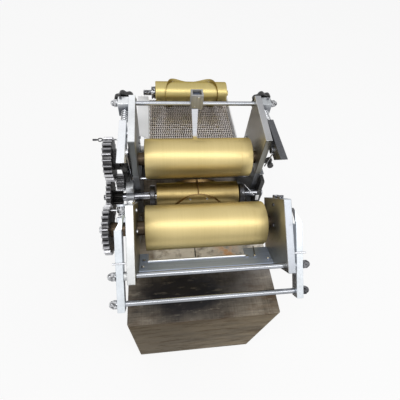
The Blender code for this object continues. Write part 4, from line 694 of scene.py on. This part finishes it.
dieShaft = pin(drum["rightEnd"], drum["leftEnd"], drum["shaft"], 0.001, 0.001, 48)
for title, parts, finish, slotName, standsFor in (
        ("drumSleeve", [(drumSleeve(), diePlace)], "drumBrass", "brass", "die_drum"),
        ("cuttingRib", ribParts(drum["ribStart"], diePlace), "ribBrass", "brass", "die_rib"),
        ("cuttingRibScrews", ribScrews(), "brightSteel", "bright_steel", None),
        ("dieCollars", dieCollars(), "darkSteel", "gear_steel", None),
        ("dieShaft", [(dieShaft, diePlace)], "shaftSteel", "gear_steel", "die_shaft"),
        ("collarScrews", collarScrews(), "darkNut", "bright_steel", None)):
    madePiece(title, parts, finish, "cutting_drum_set", slotName, standsFor)
print("cutting drum made")

# spare drum with a pinned hub and a threaded stub on the left
spare = {"place": (0.006, 0.370, 0.5538), "hub": 0.017, "hubWide": 0.012, "stub": 0.008, "leftStub": 0.035,
         "rightStub": 0.008, "thread": 0.0022, "ribStart": 164.5}
sparePlace = at(*spare["place"])


def spareSleeve():
    half, radius, edge, stub = drum["half"], drum["radius"], drum["edge"], spare["stub"]
    right, left = half + spare["rightStub"], -half - spare["hubWide"]
    return turned([(right, 0.001), (right, stub - 0.0008), (right - 0.0008, stub), (half, stub), (half, radius - edge),
                   (half - edge, radius), (-half + edge, radius), (-half, radius - edge), (-half, stub), (left, stub),
                   (left, 0.001)], 120)


def spareHub():
    start, hub, stub, thread = -drum["half"], spare["hub"], spare["stub"], spare["thread"]
    end, tip = start - spare["hubWide"], start - spare["leftStub"]
    groove = hub - 0.004
    yield turned([(start + 0.0004, 0.004), (start + 0.0004, hub - 0.001), (start - 0.0010, hub), (start - 0.0045, hub),
                  (start - 0.0050, groove), (start - 0.0075, groove), (start - 0.0080, hub), (end + 0.0008, hub),
                  (end, hub - 0.001), (end, 0.004)], 48), sparePlace
    outline, along = [(end + 0.001, 0.001)], end
    while along > tip + thread:
        outline += [(along, stub - 0.0012), (along - thread / 2, stub)]
        along -= thread
    yield turned(outline + [(tip, stub - 0.0015), (tip, 0.001)], 32), sparePlace
    for degrees in (60, 180, 300):
        yield screwHead(0.0024, 0.0042), sparePlace @ around(degrees, start - 0.006, groove)


madePiece("spareSleeve", [(spareSleeve(), sparePlace)], "spareBrass", "spare_drum_set", "brass", "spare_drum")
madePiece("spareHub", spareHub(), "chromeNut", "spare_drum_set", "gear_steel")
madePiece("spareRib", ribParts(spare["ribStart"], sparePlace), "spareRibBrass", "spare_drum_set", "brass", "spare_rib")
print("spare drum made")

# gears keep their CAD teeth, with eased edges; washers and end bolts are added
gearTeeth = {"rear_gear": (rearAxis, 0.0435, 0.0505), "front_gear": ((-0.069885, 0.535003), 0.0435, 0.0505),
             "die_gear": (dieAxis, 0.0435, 0.0505), "pinion": (pinionAxis, 0.0180, 0.0218)}
for nodeName, look in gearTeeth.items():
    frame["nodes"][nodeName].data.materials[0] = gearFinish(nodeName + "Steel", *look)
for nodeName in (*gearTeeth, "takeoff_gear"):
    easeEdges(nodeName, 0.0005, 40)
gearEnd = {"radius": 0.0165, "wide": 0.002, "across": 0.013}


def gearBolt(x, head, place):
    radius, wide = gearEnd["radius"], gearEnd["wide"]
    yield turned([(0, 0.001), (0, radius), (-wide + 0.0004, radius), (-wide, radius - 0.0006), (-wide, 0.001)],
                 48), place @ at(x, 0, 0)
    yield hexagon(gearEnd["across"], head), place @ at(x - wide, 0, 0) @ facing["-X"]


for title, parts, body in (("rearGearBolt", gearBolt(-0.2180, 0.0025, rearRollerPlace), "rear_roller_set"),
                           ("frontGearBolt", gearBolt(-0.2105, 0.006, frontRollerPlace), "front_roller_set"),
                           ("dieGearBolt", gearBolt(-0.2218, 0.006, diePlace), "cutting_drum_set")):
    madePiece(title, parts, "chromeNut", body, "bright_steel")
print("gears dressed")

# discharge belt: flattened spirals that lean left and right in turn, joined by cross wires
weave = {"left": -0.1168, "right": 0.1198, "outer": 0.0132, "mean": 0.0125, "inner": 0.0108, "rows": 60,
         "pitch": 0.0052, "lap": 0.0006, "wire": 0.0009, "crossWire": 0.00085}
beltRun, beltArc = beltLook["rearY"] - beltLook["frontY"], math.pi * weave["mean"]


def beltPoint(x, distance, radius):
    # distance goes along the top, round the rear, back below and round the front
    front, rear, height = beltLook["frontY"], beltLook["rearY"], beltLook["axisZ"]
    distance = distance % (2 * beltRun + 2 * beltArc)
    if distance < beltRun:
        return (x, front + distance, height + radius)
    distance -= beltRun
    if distance < beltArc:
        lean = distance / weave["mean"]
        return (x, rear + radius * math.sin(lean), height + radius * math.cos(lean))
    distance -= beltArc
    if distance < beltRun:
        return (x, rear - distance, height - radius)
    lean = (distance - beltRun) / weave["mean"]
    return (x, front - radius * math.sin(lean), height - radius * math.cos(lean))


def beltRuns():
    left, right, pitch, outer, inner = [weave[key] for key in ("left", "right", "pitch", "outer", "inner")]
    row = (2 * beltRun + 2 * beltArc) / weave["rows"]
    spirals, crossings = [], []
    for k in range(weave["rows"]):
        low, high = k * row - weave["lap"], (k + 1) * row + weave["lap"]
        if k % 2:
            low, high = high, low
        points = []
        for stroke in range(int((right - left) / pitch)):
            x = left + stroke * pitch
            points += [beltPoint(x, low, outer), beltPoint(x + pitch * 0.5, high, outer),
                       beltPoint(x + pitch * 0.5, high, inner), beltPoint(x + pitch, low, inner)]
        spirals.append(points)
        crossings.append([beltPoint(x, k * row, (outer + inner) / 2) for x in (left, right)])
    return spirals, crossings


spirals, crossings = beltRuns()
wirePiece("beltSpirals", spirals, weave["wire"], "beltWire", "frame", "belt_wire", "belt")
wirePiece("beltCrossWires", crossings, weave["crossWire"], "beltWire", "frame", "belt_wire")

# slider bed between the two runs, near-black as painted shade for the inside seen through the belt
bed = {"size": (0.226, 0.200, 0.0016), "centre": (0.0015, 0.2695, 0.5088)}
madePiece("beltBed", [(block(bed["size"]), at(*bed["centre"]))], "bedSteel", "frame", "belt_wire")

spool = {"radius": 0.0104, "groove": 0.0096, "left": -0.117, "right": 0.120, "shaft": 0.004, "tail": 0.0041,
         "step": 0.0148}


def spoolShape():
    left, right, radius, groove, shaft, tail = [spool[key] for key in ("left", "right", "radius", "groove", "shaft",
                                                                       "tail")]
    outline = [(right + tail, 0.0005), (right + tail, shaft), (right, shaft), (right, radius)]
    along = right - spool["step"]
    while along > left + 0.004:
        outline += [(along + 0.0012, radius), (along + 0.0008, groove), (along - 0.0008, groove),
                    (along - 0.0012, radius)]
        along -= spool["step"]
    return turned(outline + [(left, radius), (left, shaft), (left - tail, shaft), (left - tail, 0.0005)], 48)


for title, y, body, nodeName in (("driveSpool", beltLook["frontY"], "belt_drive_roller", "belt_front_roller"),
                                 ("endSpool", beltLook["rearY"], "belt_end_roller", "belt_rear_roller")):
    madePiece(title, [(spoolShape(), at(0, y, beltLook["axisZ"]))], "brightSteel", body, "bright_steel", nodeName)
print("belt woven")

# tie rods with washers, hexagon nuts and domes
tieRod = {"radius": 0.005, "across": 0.0158, "hex": 0.0078, "dome": 0.0068, "washer": 0.0014, "washerRadius": 0.0088}


def domedNut(face, side, place):
    stand = place @ mirrored(side) @ at(face, 0, 0)
    wide, radius, dome = tieRod["washer"], tieRod["washerRadius"], tieRod["dome"]
    yield turned([(0, 0.001), (0, radius), (wide, radius - 0.0003), (wide, 0.001)], 32), stand
    yield hexagon(tieRod["across"], tieRod["hex"], 0.0009), stand @ at(wide, 0, 0) @ rolled(15)
    base = wide + tieRod["hex"] - 0.0004
    outline = [(base, dome), (base + 0.0012, dome)]
    for step in range(1, 9):
        lean = math.pi / 2 * step / 8
        outline.append((base + 0.0012 + dome * 0.90 * math.sin(lean), max(dome * math.cos(lean), 0.0002)))
    yield turned(outline, 40), stand


# the right-hand nuts of the clamp rod and the handle bar take darkNut as painted shade
for title, nodeName, body, face, place, rightNut in (
        ("rearTieRod", "rear_tie_rod", "frame", 0.1813, at(0, 0.198, 0.645), "chromeNut"),
        ("clampRod", "clamp_rod", "head", 0.1768, openHead @ at(0, -0.065, 0.6395), "darkNut"),
        ("handleBar", "handle_bar", "clamp_levers", 0.1768, openHead @ at(0, -0.118, 0.6345), "darkNut")):
    madePiece(title, [(stick(face, -face, tieRod["radius"], 48), place)], "rodSteel", body, "bright_steel", nodeName)
    madePiece(title + "NutLeft", domedNut(face, -1, place), "chromeNut", body, "bright_steel", angle=28)
    madePiece(title + "NutRight", domedNut(face, 1, place), rightNut, body, "bright_steel", angle=28)
print("tie rods made")

# knobs: seven rounded lobes, dished face, hub and the threaded screw that draws the arm
knob = {"lobes": 7, "radius": 0.026, "depth": 0.0042, "back": 0.2173, "front": 0.2313, "hub": 0.0095,
        "dish": 0.0028, "screw": 0.0035, "thread": 0.00125, "screwFrom": 0.124, "x": 0.1665, "z": 0.633}


def onKnob(side, y):
    return at(side * knob["x"], y, knob["z"])


def knobGrip(side):
    part = bmesh.new()
    bmesh.ops.create_circle(part, cap_ends=True, segments=knob["lobes"] * 16, radius=knob["radius"])
    for vert in part.verts:
        wave = (1 - math.cos(knob["lobes"] * math.atan2(vert.co.y, vert.co.x))) / 2
        vert.co *= 1 - knob["depth"] / knob["radius"] * wave ** 1.6
    pulled(part, part.faces[:], knob["front"] - knob["back"])
    rims = {edge for face in part.faces if len(face.verts) > 6 for edge in face.edges}
    softened(part, list(rims), 0.003, 4)
    dished(part, 0.0055, 0.0015, knob["dish"])
    yield quarterTurned(part, "X", -1), onKnob(side, knob["back"])
    yield (turned([(0, 0.001), (0, knob["hub"]), (0.0045, knob["hub"] + 0.001), (0.0045, 0.001)], 32),
           onKnob(side, knob["back"] - 0.004) @ facing["+Y"])


def knobScrew(side):
    outline, along = [(knob["screwFrom"], 0.0005)], knob["screwFrom"] + 0.0005
    while along < knob["back"]:
        outline += [(along, knob["screw"] - 0.0006), (along + knob["thread"] / 2, knob["screw"])]
        along += knob["thread"]
    yield turned(outline + [(along, 0.0005)], 20), onKnob(side, 0) @ facing["+Y"]
    yield hexagon(0.012, 0.005), onKnob(side, knob["front"] - knob["dish"] - 0.001) @ facing["+Y"]


for side, word in sides:
    body = "knob_" + word
    madePiece("knobGrip." + word, knobGrip(side), "blackPlastic", body, "black_plastic", body, 40)
    madePiece("knobScrew." + word, knobScrew(side), "brightSteel", body, "bright_steel", angle=20)
print("knobs made")

# lug blocks: the rear tie rod goes through them just below their top
lug = {"x": 0.16865, "wide": 0.0247, "y": (0.186, 0.213), "z": (0.618, 0.6525), "left": "lugPale", "right": "lugGrey"}
(near, far), (low, high) = lug["y"], lug["z"]
for side, word in sides:
    solid = block((lug["wide"], far - near, high - low), 0.0012, 3)
    place = at(side * lug["x"], (near + far) / 2, (low + high) / 2)
    heads = [(screwHead(0.0032, 0.0030), at(side * 0.1748, 0.207, high) @ facing["+Z"]),
             (screwHead(0.0024, 0.0020), at(side * 0.1810, 0.205, 0.630) @ outward(side))]
    madePiece("lugBlock." + word, [(solid, place)], lug[word], "frame", "alloy", "lug_block_" + word)
    madePiece("lugScrews." + word, heads, "darkNut", "frame", "bright_steel")

# springs stay CAD nodes with rounded wire; the draw springs get a mesh of their own
for side, word in sides:
    for nodeName in ("draw_spring_" + word, "buffer_spring_" + word):
        rounded = joined(nodeName).modifiers.new("rounded", "SUBSURF")
        rounded.levels = rounded.render_levels = 1
    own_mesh(frame["nodes"]["draw_spring_" + word])

# plates, arms and sheets get eased edges
easedPairs = ("front_plate_", "rear_plate_", "draw_arm_", "clamp_lever_", "conveyor_rail_")
for nodeName in ("base_box", "scraper_panel", *[title + word for title in easedPairs for word in ("left", "right")]):
    easeEdges(nodeName, 0.0004, 35)
print("edges eased")

# finger clip: folded holder with a pocket in its top, screws through its front
clip = {"size": (0.0284, 0.025, 0.0375), "centre": (-0.0005, 0.1995, 0.65525), "wall": 0.0045, "pocket": 0.010,
        "insert": (0.0150, 0.0125, 0.002), "insertCentre": (-0.0015, 0.2000, 0.6690), "insertTurn": 14}
holder = block(clip["size"], 0.0009, 3)
dished(holder, clip["wall"], 0.0006, clip["pocket"])
x, y, z = clip["centre"]
heads = [(screwHead(radius, height), at(x + aside, y - clip["size"][1] / 2, z + rise) @ facing["-Y"])
         for radius, height, aside, rise in ((0.0028, 0.0016, 0.003, 0.013), (0.0022, 0.0014, -0.006, -0.012))]
insertPlace = at(*clip["insertCentre"]) @ rolled(clip["insertTurn"], "Z")
madePiece("fingerHolder", [(holder, at(x, y, z))], "holderAlloy", "frame", "alloy", "finger_clip", 30)
madePiece("fingerHolderScrews", heads, "chromeNut", "frame", "bright_steel")
madePiece("fingerHolderInsert", [(block(clip["insert"], 0.0005), insertPlace)], "blueGrey", "frame", "alloy")


def fixedBolts():
    for side, face in ((-1, 0.1748), (1, 0.1656)):
        for y, z in ((0.090, 0.436), (0.092, 0.476), (0.060, 0.430)):
            yield screwHead(0.0045, 0.0042), at(side * face, y, z) @ outward(side)
    for side in (-1, 1):
        for y, z in ((0.095, 0.400), (0.185, 0.400), (0.185, 0.515)):
            yield hexagon(0.010, 0.0045), at(side * 0.156, y, z) @ outward(side)
        for y in (0.170, 0.190):
            yield screwHead(0.0032, 0.003), at(side * 0.141, y, 0.548) @ outward(-side)


def headBolts():
    # on the inner faces of the front plates, then on their parting edges
    for side in (-1, 1):
        for y, z in ((0.050, 0.589), (0.008, 0.588)):
            yield screwHead(0.0034, 0.0022), openHead @ at(side * 0.141, y, z) @ outward(-side)
    for side in (-1, 1):
        for z in (0.583, 0.610):
            yield hexagon(0.0115, 0.0065), openHead @ at(side * 0.1485, 0.064, z) @ facing["+Y"]


def leverPins():
    for side in (-1, 1):
        yield stick(0.1585, 0.1815, 0.0018, 16, 0.0005), openHead @ at(0, -0.040, 0.6475) @ mirrored(side)


madePiece("fixedBolts", fixedBolts(), "darkNut", "frame", "bright_steel")
madePiece("headBolts", headBolts(), "chromeNut", "head", "bright_steel")
madePiece("leverPins", leverPins(), "brightSteel", "clamp_levers", "bright_steel")
print("fasteners added")

# castle nuts that hold the buffer springs, in line with the stops
buffer = {"x": 0.1703, "z": 0.567}
castle = {"radius": 0.0105, "bore": 0.0045, "from": 0.0455, "to": 0.0585, "slots": 6, "slotDeep": 0.005, "facets": 4}


def castleNut():
    low = castle["to"] - castle["from"] - castle["slotDeep"]
    steps = castle["slots"] * castle["facets"]
    part = flatRing(castle["radius"], castle["bore"], steps)
    pulled(part, part.faces[:], low)
    crowns = []
    for face in part.faces:
        centre = face.calc_center_median()
        sector = int((math.atan2(centre.y, centre.x) + math.pi) / (2 * math.pi) * steps)
        if centre.z > low - 1e-6 and abs(face.normal.z) > 0.5 and sector % castle["facets"]:
            crowns.append(face)
    pulled(part, crowns, castle["slotDeep"])
    bmesh.ops.delete(part, geom=crowns, context="FACES")
    return quarterTurned(part, "X", -1)


for side, word in sides:
    place = openHead @ at(side * buffer["x"], castle["from"], buffer["z"])
    madePiece("castleNut" + word.title(), [(castleNut(), place)], "chromeNut", "head", "bright_steel", angle=25)

# pull pin: drawn rod, split ring and knurled grip
pullPin = {"y": 0.098, "z": 0.627, "inner": -0.1645, "ring": -0.2151, "ringRadius": 0.0045, "wire": 0.0012,
           "rod": 0.0014, "grip": 0.0021, "gripEnd": -0.2308}


def pullPinParts():
    middle, radius, grip, end = [pullPin[key] for key in ("ring", "ringRadius", "grip", "gripEnd")]
    stand = at(0, pullPin["y"], pullPin["z"])
    far = middle - radius + 0.0004
    yield stick(pullPin["inner"], middle + radius - 0.0004, pullPin["rod"], 20, 0.0003), stand
    yield turned([(far, 0.0003), (far, grip), (far - 0.002, grip * 0.7), (far - 0.004, grip), (end + 0.0006, grip),
                  (end, grip * 0.6), (end, 0.0003)], 20), stand
    ring = bmesh.new()
    bmesh.ops.create_circle(ring, cap_ends=False, segments=10, radius=pullPin["wire"])
    quarterTurned(ring, "X")
    bmesh.ops.translate(ring, vec=(radius, 0, 0), verts=ring.verts)
    yield spun(ring, (0, 0, 1), 40), stand @ at(middle, 0, 0)


madePiece("pullPinWire", pullPinParts(), "chromeNut", "pull_pin", "bright_steel", "pull_pin")

# trim of the scraper panel: rolled lip below the notch, studs, and a hanging pin
panel = {"y": -0.0763, "z": 0.5829, "run": (0.5354, -0.8446), "lip": (-0.124, 0.086), "lipRadius": 0.0023,
         "lipAlong": 0.0255, "top": 0.004, "pinStud": (0.1055, 0.0204)}


def onPanel(x, along, above):
    run, rise = panel["run"]
    return openHead @ at(x, panel["y"] + along * run - above * rise, panel["z"] + along * rise + above * run)


def onStud(x, along):
    run, rise = panel["run"]
    return onPanel(x, along, panel["top"]) @ Matrix.Rotation(-math.atan2(run, -rise), 4, "X") @ facing["+Y"]


def panelStuds():
    for x, along in ((-0.131, 0.026), (0.0875, 0.0206), panel["pinStud"], (0.132, 0.010), (-0.133, 0.008)):
        yield stick(0, 0.0008, 0.0042, 24, 0.0003), onStud(x, along)
        yield screwHead(0.0030, 0.0030), onStud(x, along) @ at(0.0008, 0, 0)


lip = pin(*panel["lip"], panel["lipRadius"], panel["lipRadius"] * 0.4, 0.001, 20, 0.0003)
lipPlace = onPanel(0, panel["lipAlong"], panel["top"] + 0.0004)
madePiece("panelLip", [(lip, lipPlace)], "paleAlloy", "head", "bright_steel")
madePiece("panelStuds", panelStuds(), "chromeNut", "head", "bright_steel")
madePiece("panelPin", [(peg(0.003, 0.0245, 0.0013), onStud(*panel["pinStud"]))], "darkSteel", "head", "stainless")

# left side between gears and plate: gear shield, a black sheet as painted shade, bearing flange, housing cap, latch
# bars and pins
leftSide = {"flange": (-0.1566, -0.1725), "flangeRadius": 0.027, "bore": 0.0158, "shield": (-0.1736, -0.1770),
            "shieldRadius": 0.0378}


def barBetween(start, end, radius, wide=None):
    run = Vector(end) - Vector(start)
    turnTo = Vector((1, 0, 0)).rotation_difference(run).to_matrix().to_4x4()
    if wide:
        part = block((run.length, wide, radius * 2), 0.0003)
        bmesh.ops.translate(part, vec=(run.length / 2, 0, 0), verts=part.verts)
    else:
        part = pin(0, run.length, radius, radius * 0.3, radius * 0.4, 16, 0.0003)
    return part, at(*start) @ turnTo


def gearShield():
    (near, far), wide, bore = leftSide["shield"], leftSide["shieldRadius"], leftSide["bore"]
    return turned([(near, bore), (near, wide - 0.0008), (near - 0.0006, wide), (far + 0.0006, wide),
                   (far, wide - 0.0008), (far, 0.0300), (-0.1755, 0.0285), (-0.1755, bore), (near, bore)], 64)


def bearingFlange():
    (near, far), wide, bore = leftSide["flange"], leftSide["flangeRadius"], leftSide["bore"]
    yield turned([(near, bore), (near, wide - 0.001), (near - 0.001, wide), (near - 0.006, wide),
                  (near - 0.0065, 0.021), (far + 0.0015, 0.0205), (far, 0.0190), (far, bore), (near, bore)],
                 48), rearRollerPlace
    for degrees in (30, 150, 270):
        yield screwHead(0.0022, 0.0022), rearRollerPlace @ around(degrees, near - 0.006, 0.0235, "-X")
    # two near-black blocks behind the pinion
    yield block((0.0105, 0.030, 0.048), 0.0015), at(-0.1700, 0.0880, 0.5300)
    yield block((0.0060, 0.018, 0.026), 0.0010), at(-0.1600, 0.0740, 0.5400)
    yield barBetween((-0.1576, 0.0480, 0.6360), (-0.1576, 0.0708, 0.5420), 0.0010)


def latchBars():
    yield barBetween((-0.1576, 0.0436, 0.6394), (-0.1576, 0.0682, 0.5408), 0.0010, 0.0030)
    yield barBetween((-0.1635, 0.0668, 0.5590), (-0.1635, 0.0828, 0.5230), 0.0013)
    # rod above the take-off gear
    yield barBetween((-0.1981, 0.0589, 0.5000), (-0.1685, 0.0577, 0.5000), 0.0011)
    yield screwHead(0.0020, 0.0024), at(-0.1752, 0.0880, 0.5440) @ facing["-X"]


# a black sheet laid where the inside of the machine lies in shade: painted shade
shadeSheet = (block((0.0180, 0.102, 0.0014), 0.0004), at(-0.1315, 0.1630, 0.4800))
cap = (block((0.0165, 0.028, 0.020), 0.0012), at(-0.1648, 0.0660, 0.5050))
crossPin = (peg(-0.1795, -0.1930, 0.0015), openHead @ at(0, 0.0500, buffer["z"]))
endScrew = (screwHead(0.0045, 0.0030), at(-0.1958, *pinionAxis) @ facing["-X"])
madePiece("gearShieldLeft", [(gearShield(), rearRollerPlace)], "oiledBlack", "frame", "black_metal")
madePiece("shadeSheetLeft", [shadeSheet], "blackPaint", "frame", "black_metal")
madePiece("bearingFlangeLeft", bearingFlange(), "oiledBlack", "frame", "black_metal")
madePiece("housingCapLeft", [cap], "paleAlloy", "frame", "alloy")
madePiece("latchBarsLeft", latchBars(), "brightSteel", "frame", "bright_steel")
madePiece("bufferCrossPin", [crossPin], "paleAlloy", "head", "bright_steel")
madePiece("pinionEndScrew", [endScrew], "chromeNut", "belt_pinion", "bright_steel")

# threaded stops of the buffers
stop = {"y": (0.064, 0.088), "radius": 0.0083, "thread": 0.0012, "footX": 0.1614, "foot": (0.0100, 0.0090, 0.0110)}


def stopParts(side):
    (front, back), wide, thread = stop["y"], stop["radius"], stop["thread"]
    along = front + 0.0065
    outline = [(front, 0.0003), (front, wide - 0.0022), (front + 0.0012, wide - 0.0012),
               (front + 0.006, wide - 0.0012), (along, wide - 0.0035)]
    while along < back - 0.0075:
        outline += [(along + thread / 2, wide - 0.0026), (along + thread, wide - 0.0036)]
        along += thread
    outline += [(back - 0.006, wide), (back - 0.0008, wide), (back, wide - 0.0008), (back, 0.0003)]
    yield turned(outline, 40), at(side * buffer["x"], 0, buffer["z"]) @ facing["+Y"]
    yield block(stop["foot"], 0.0010), at(side * stop["footX"], back - stop["foot"][1] / 2, buffer["z"])


for side, word in sides:
    madePiece("threadedStop." + word, stopParts(side), "blackPaint", "frame", "black_metal", "buffer_stop_" + word)

# right side: latch rod, two thin bright bars as painted highlights on edges, a bright strip across the front corner of
# the rear plate, a small white plate
latchRods = [barBetween((0.1580, 0.0540, 0.6220), (0.1580, 0.0700, 0.5620), 0.0015),
             # two bright bars standing for bright edge lines: painted highlights
             barBetween((0.1200, 0.0646, 0.5006), (0.1392, 0.0322, 0.4974), 0.0010),
             barBetween((0.1215, 0.0660, 0.4960), (0.1385, 0.0460, 0.4890), 0.0008),
             (block((0.0150, 0.0014, 0.0016), 0.0003), at(0.1485, 0.0719, 0.6432))]
whitePlate = block((0.0085, 0.0014, 0.0200), 0.0004)
whitePlatePlace = at(0.1530, 0.0395, 0.4765) @ rolled(-8, "Y")
madePiece("latchRodsRight", latchRods, "brightSteel", "frame", "bright_steel")
madePiece("whitePlateRight", [(whitePlate, whitePlatePlace)], "whitePaint", "frame", "white_metal")

# left rail: seams of its layered sheets
seams = [(block((0.0010, 0.190, 0.0010), 0.0003), at(x, 0.310, z)) for x, z in ((-0.1305, 0.5195), (-0.1400, 0.5190))]
madePiece("railSeams", seams, "greyAlloy", "frame", "white_metal")
print("side details made")

# pale floor and a soft studio; what the camera sees of both is brighter than the light they give
studio = {"floor": 6.0, "paperGlow": 0.86, "skyLight": 0.5, "aim": (0, 0.05, 0.5)}
lamps = {"keyLamp": {"place": (-0.3, -0.9, 2.6), "size": (3.6, 0.5), "power": 25},
         "fillLamp": {"place": (1.8, -0.6, 1.8), "size": (2.0, 2.0), "power": 10}}
grid = bmesh.new()
bmesh.ops.create_grid(grid, x_segments=2, y_segments=2, size=studio["floor"])
floorMesh = bpy.data.meshes.new("studioFloor")
grid.to_mesh(floorMesh)
grid.free()
studioFloor = bpy.data.objects.new("studioFloor", floorMesh)
scene.collection.objects.link(studioFloor)
paper = Finish("studioFloorPaper")
paper.done(paper.ramp(paper.noise(3, detail=2), [(0.3, (0.93, 0.93, 0.93)), (0.7, (0.96, 0.96, 0.96))]), 0.9)
glow = paper.node("Emission", {}, {"Color": (1, 1, 1), "Strength": 1.0})
plain = Flow(paper, paper.shader.outputs[0])
mixed = paper.node("MixShader", {}, [paper.straight() * studio["paperGlow"], plain, glow])
paper.feed(paper.tree.nodes["Material Output"].inputs[0], mixed)
floorMesh.materials.append(paper.material)

for title, look in lamps.items():
    lampData = bpy.data.lights.new(title, "AREA")
    lampData.shape = "RECTANGLE"
    lampData.size, lampData.size_y = look["size"]
    lampData.energy = look["power"]
    lamp = bpy.data.objects.new(title, lampData)
    scene.collection.objects.link(lamp)
    lamp.location = look["place"]
    lamp.rotation_mode = "QUATERNION"
    lamp.rotation_quaternion = (Vector(studio["aim"]) - Vector(look["place"])).to_track_quat("-Z", "Y")

scene.world = bpy.data.worlds.new("studioWorld")
scene.world.use_nodes = True
scene.world.node_tree.nodes.clear()
sky = Graph(scene.world.node_tree)
lit = sky.node("Background", {}, [(0.9, 0.9, 0.9), studio["skyLight"]])
seen = sky.node("Background", {}, [(1, 1, 1), 1.0])
sky.node("OutputWorld", {}, [sky.node("MixShader", {}, [sky.straight(), lit, seen])])
scene.view_settings.view_transform = "Standard"
print("studio lit")
